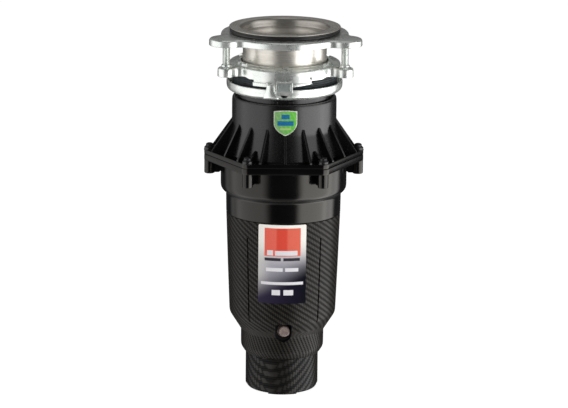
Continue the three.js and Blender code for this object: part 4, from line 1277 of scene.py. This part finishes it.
def shield(inset=0.0):
    """The badge's outline: a shallow arched top, upright sides and a pointed foot."""
    half = 11.9 - inset
    top, arch, shoulder, tip = 303.6 - inset, 1, 292, 278.2 + inset * 1.5
    foot, bulge, end = Vector((0, tip)), Vector((half, 283.5)), Vector((half, shoulder))
    shares = [i / 16 for i in range(1, 17)]
    side = [foot * (1 - t) ** 2 + bulge * 2 * t * (1 - t) + end * t**2 for t in shares]
    across = [1 - i / 8 for i in range(17)]
    crown = [Vector((half * share, top + arch * (1 - share**2))) for share in across]
    mirrored = [Vector((-point.x, point.y)) for point in side[::-1]]
    return [foot] + side + crown + mirrored


def build_badge():
    """The badge's raised border and its face, both bent round the hopper's upright wall."""
    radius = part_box("shield_badge")[0].y / -MM - 1.3

    def wall(_):
        return radius

    border = draped(shield(), wall, 0.25, 1.1)
    look = grained("badge_border", (176, 184, 168), (222, 228, 214), 0.3, 0.3, 0.9)
    add_piece("shield_badge_border", border, "badge", "shield_badge", look=look)
    face = draped(shield(0.9), wall, 0.9, 1.3)
    add_piece("shield_badge_face", face, "badge")


# ---- inside


def dress_inner_nodes():
    """Gives each CAD node that is still shown its finish; its mesh stays as it is."""
    slots = {part["node"]: part["material_slot"] for part in frame["record"]["subparts"]}
    for name, node in frame["nodes"].items():
        if node.hide_render:
            continue
        node.data.materials.clear()
        node.data.materials.append(LOOKS[slots[name]])
        node.data.shade_smooth()
        node.data.set_sharp_from_angle(angle=math.radians(40))


# ---- studio


def aim(thing, target):
    """Turns a light or camera so that it looks at a target."""
    thing.rotation_euler = (target - thing.location).to_track_quat("-Z", "Y").to_euler()


def add_camera():
    """The photograph was taken with a long lens, a little above the object and left of its front."""
    data = bpy.data.cameras.new("camera")
    data.sensor_width = 36
    data.lens = 214.7
    data.clip_start, data.clip_end = 0.1, 50
    camera = bpy.data.objects.new("camera", data)
    bpy.context.scene.collection.objects.link(camera)
    distance, height = 3397, 1022.5
    camera.location = polar(distance, -1.5, height) * MM
    pitch, roll, pan = math.radians(13.7), math.radians(0.56), math.radians(-0.012)
    forward = Matrix.Rotation(math.radians(-1.5) + pan, 3, "Z") @ Vector((0, 1, 0))
    heading = math.atan2(-forward.x, forward.y)
    turn = Matrix.Rotation(heading, 3, "Z") @ Matrix.Rotation(math.pi / 2 - pitch, 3, "X")
    camera.rotation_euler = (turn @ Matrix.Rotation(roll, 3, "Z")).to_euler()
    bpy.context.scene.camera = camera


def add_floor():
    """A wide pale sweep whose edge is out of sight. It lights and mirrors nothing."""
    rings = []
    for radius in (0, 60, 200, 600, 1500, 4000):
        rings.append([polar(radius, 5 * i, -0.2) for i in range(72)])
    floor = add_object("floor", loft(rings, closed=False))
    look = Look("floor_paper", roughness=0.9)
    grain = look.noise(4)
    look.set(
        Base_Color=look.tint(grain, (160, 160, 160), (166, 166, 166)),
        Emission_Color=(1, 1, 1),
        Emission_Strength=0.9,
    )
    look.bump(grain, 0.01)
    floor.data.materials.append(look.material)
    floor.visible_glossy = False
    floor.visible_diffuse = False
    floor.visible_shadow = False


def add_softbox(name, place, size, power, glossy=True):
    data = bpy.data.lights.new(name, "AREA")
    data.shape = "RECTANGLE"
    data.size, data.size_y = size
    data.energy = power
    light = bpy.data.objects.new(name, data)
    light.location = place
    light.visible_glossy = glossy
    bpy.context.scene.collection.objects.link(light)
    aim(light, Vector((0, 0, 0.2)))


def add_world():
    """A dark room with tall soft panels on either side, a dim back wall and a pale floor."""
    world = bpy.data.worlds.new("studio")
    bpy.context.scene.world = world
    room = Graph(world)
    x, y, z = room.split(room.node("TexCoord").outputs["Generated"])
    azimuth = room.math("DEGREES", room.azimuth(x, y))

    def panel(start, end, soft, strength):
        return room.times(room.within(azimuth, start, end, soft), strength)

    left = room.plus(panel(-108, -34, 10, 1.3), panel(-132, -104, 8, 0.5))
    near_right = panel(30, 94, 8, room.ramp(z, 0, 0.16, 3, 1.5))
    far_right = panel(90, 118, 8, room.ramp(z, 0, 0.1, 2.4, 0))
    right = room.plus(near_right, far_right)
    tall = room.within(z, -0.85, 0.6, 0.15)
    back = room.times(room.ramp(y, 0.1, 0.7), room.ramp(z, 0, 0.3, 0, 0.17))
    pale = room.ramp(z, -0.75, -0.4, 0.3, 0)
    sides = room.times(room.plus(left, right), tall)
    rest = room.plus(back, pale)
    total = room.plus(room.plus(sides, rest), 0.04)
    rays = room.node("LightPath")
    seen = room.mix(rays.outputs["Is Camera Ray"], total, (1, 1, 1))
    room.feed(room.tree.nodes["Background"].inputs["Color"], seen)


def build_studio():
    add_camera()
    add_floor()
    add_world()
    add_softbox("front_fill", (-0.3, -2.6, 1.3), (1.6, 1.2), 30, glossy=False)
    add_softbox("top_fill", (0, -0.3, 2.4), (1.4, 1.4), 4)
    view = bpy.context.scene.view_settings
    view.view_transform = "Standard"
    view.look = "None"


def build_object():
    build_sink_flange()
    build_sink_gasket()
    build_support_flange()
    build_mounting_flange()
    build_mount_screws()
    build_lock_ring()
    build_cushion()
    build_splash_guard()
    build_hopper()
    build_spigot()
    build_housing_screws()
    build_grind_housing()
    build_elbow()
    build_elbow_clamp()
    build_shell()
    build_recess()
    build_base_cap()
    build_button()
    build_gland()
    build_label()
    build_badge()
    dress_inner_nodes()


build_object()
build_studio()
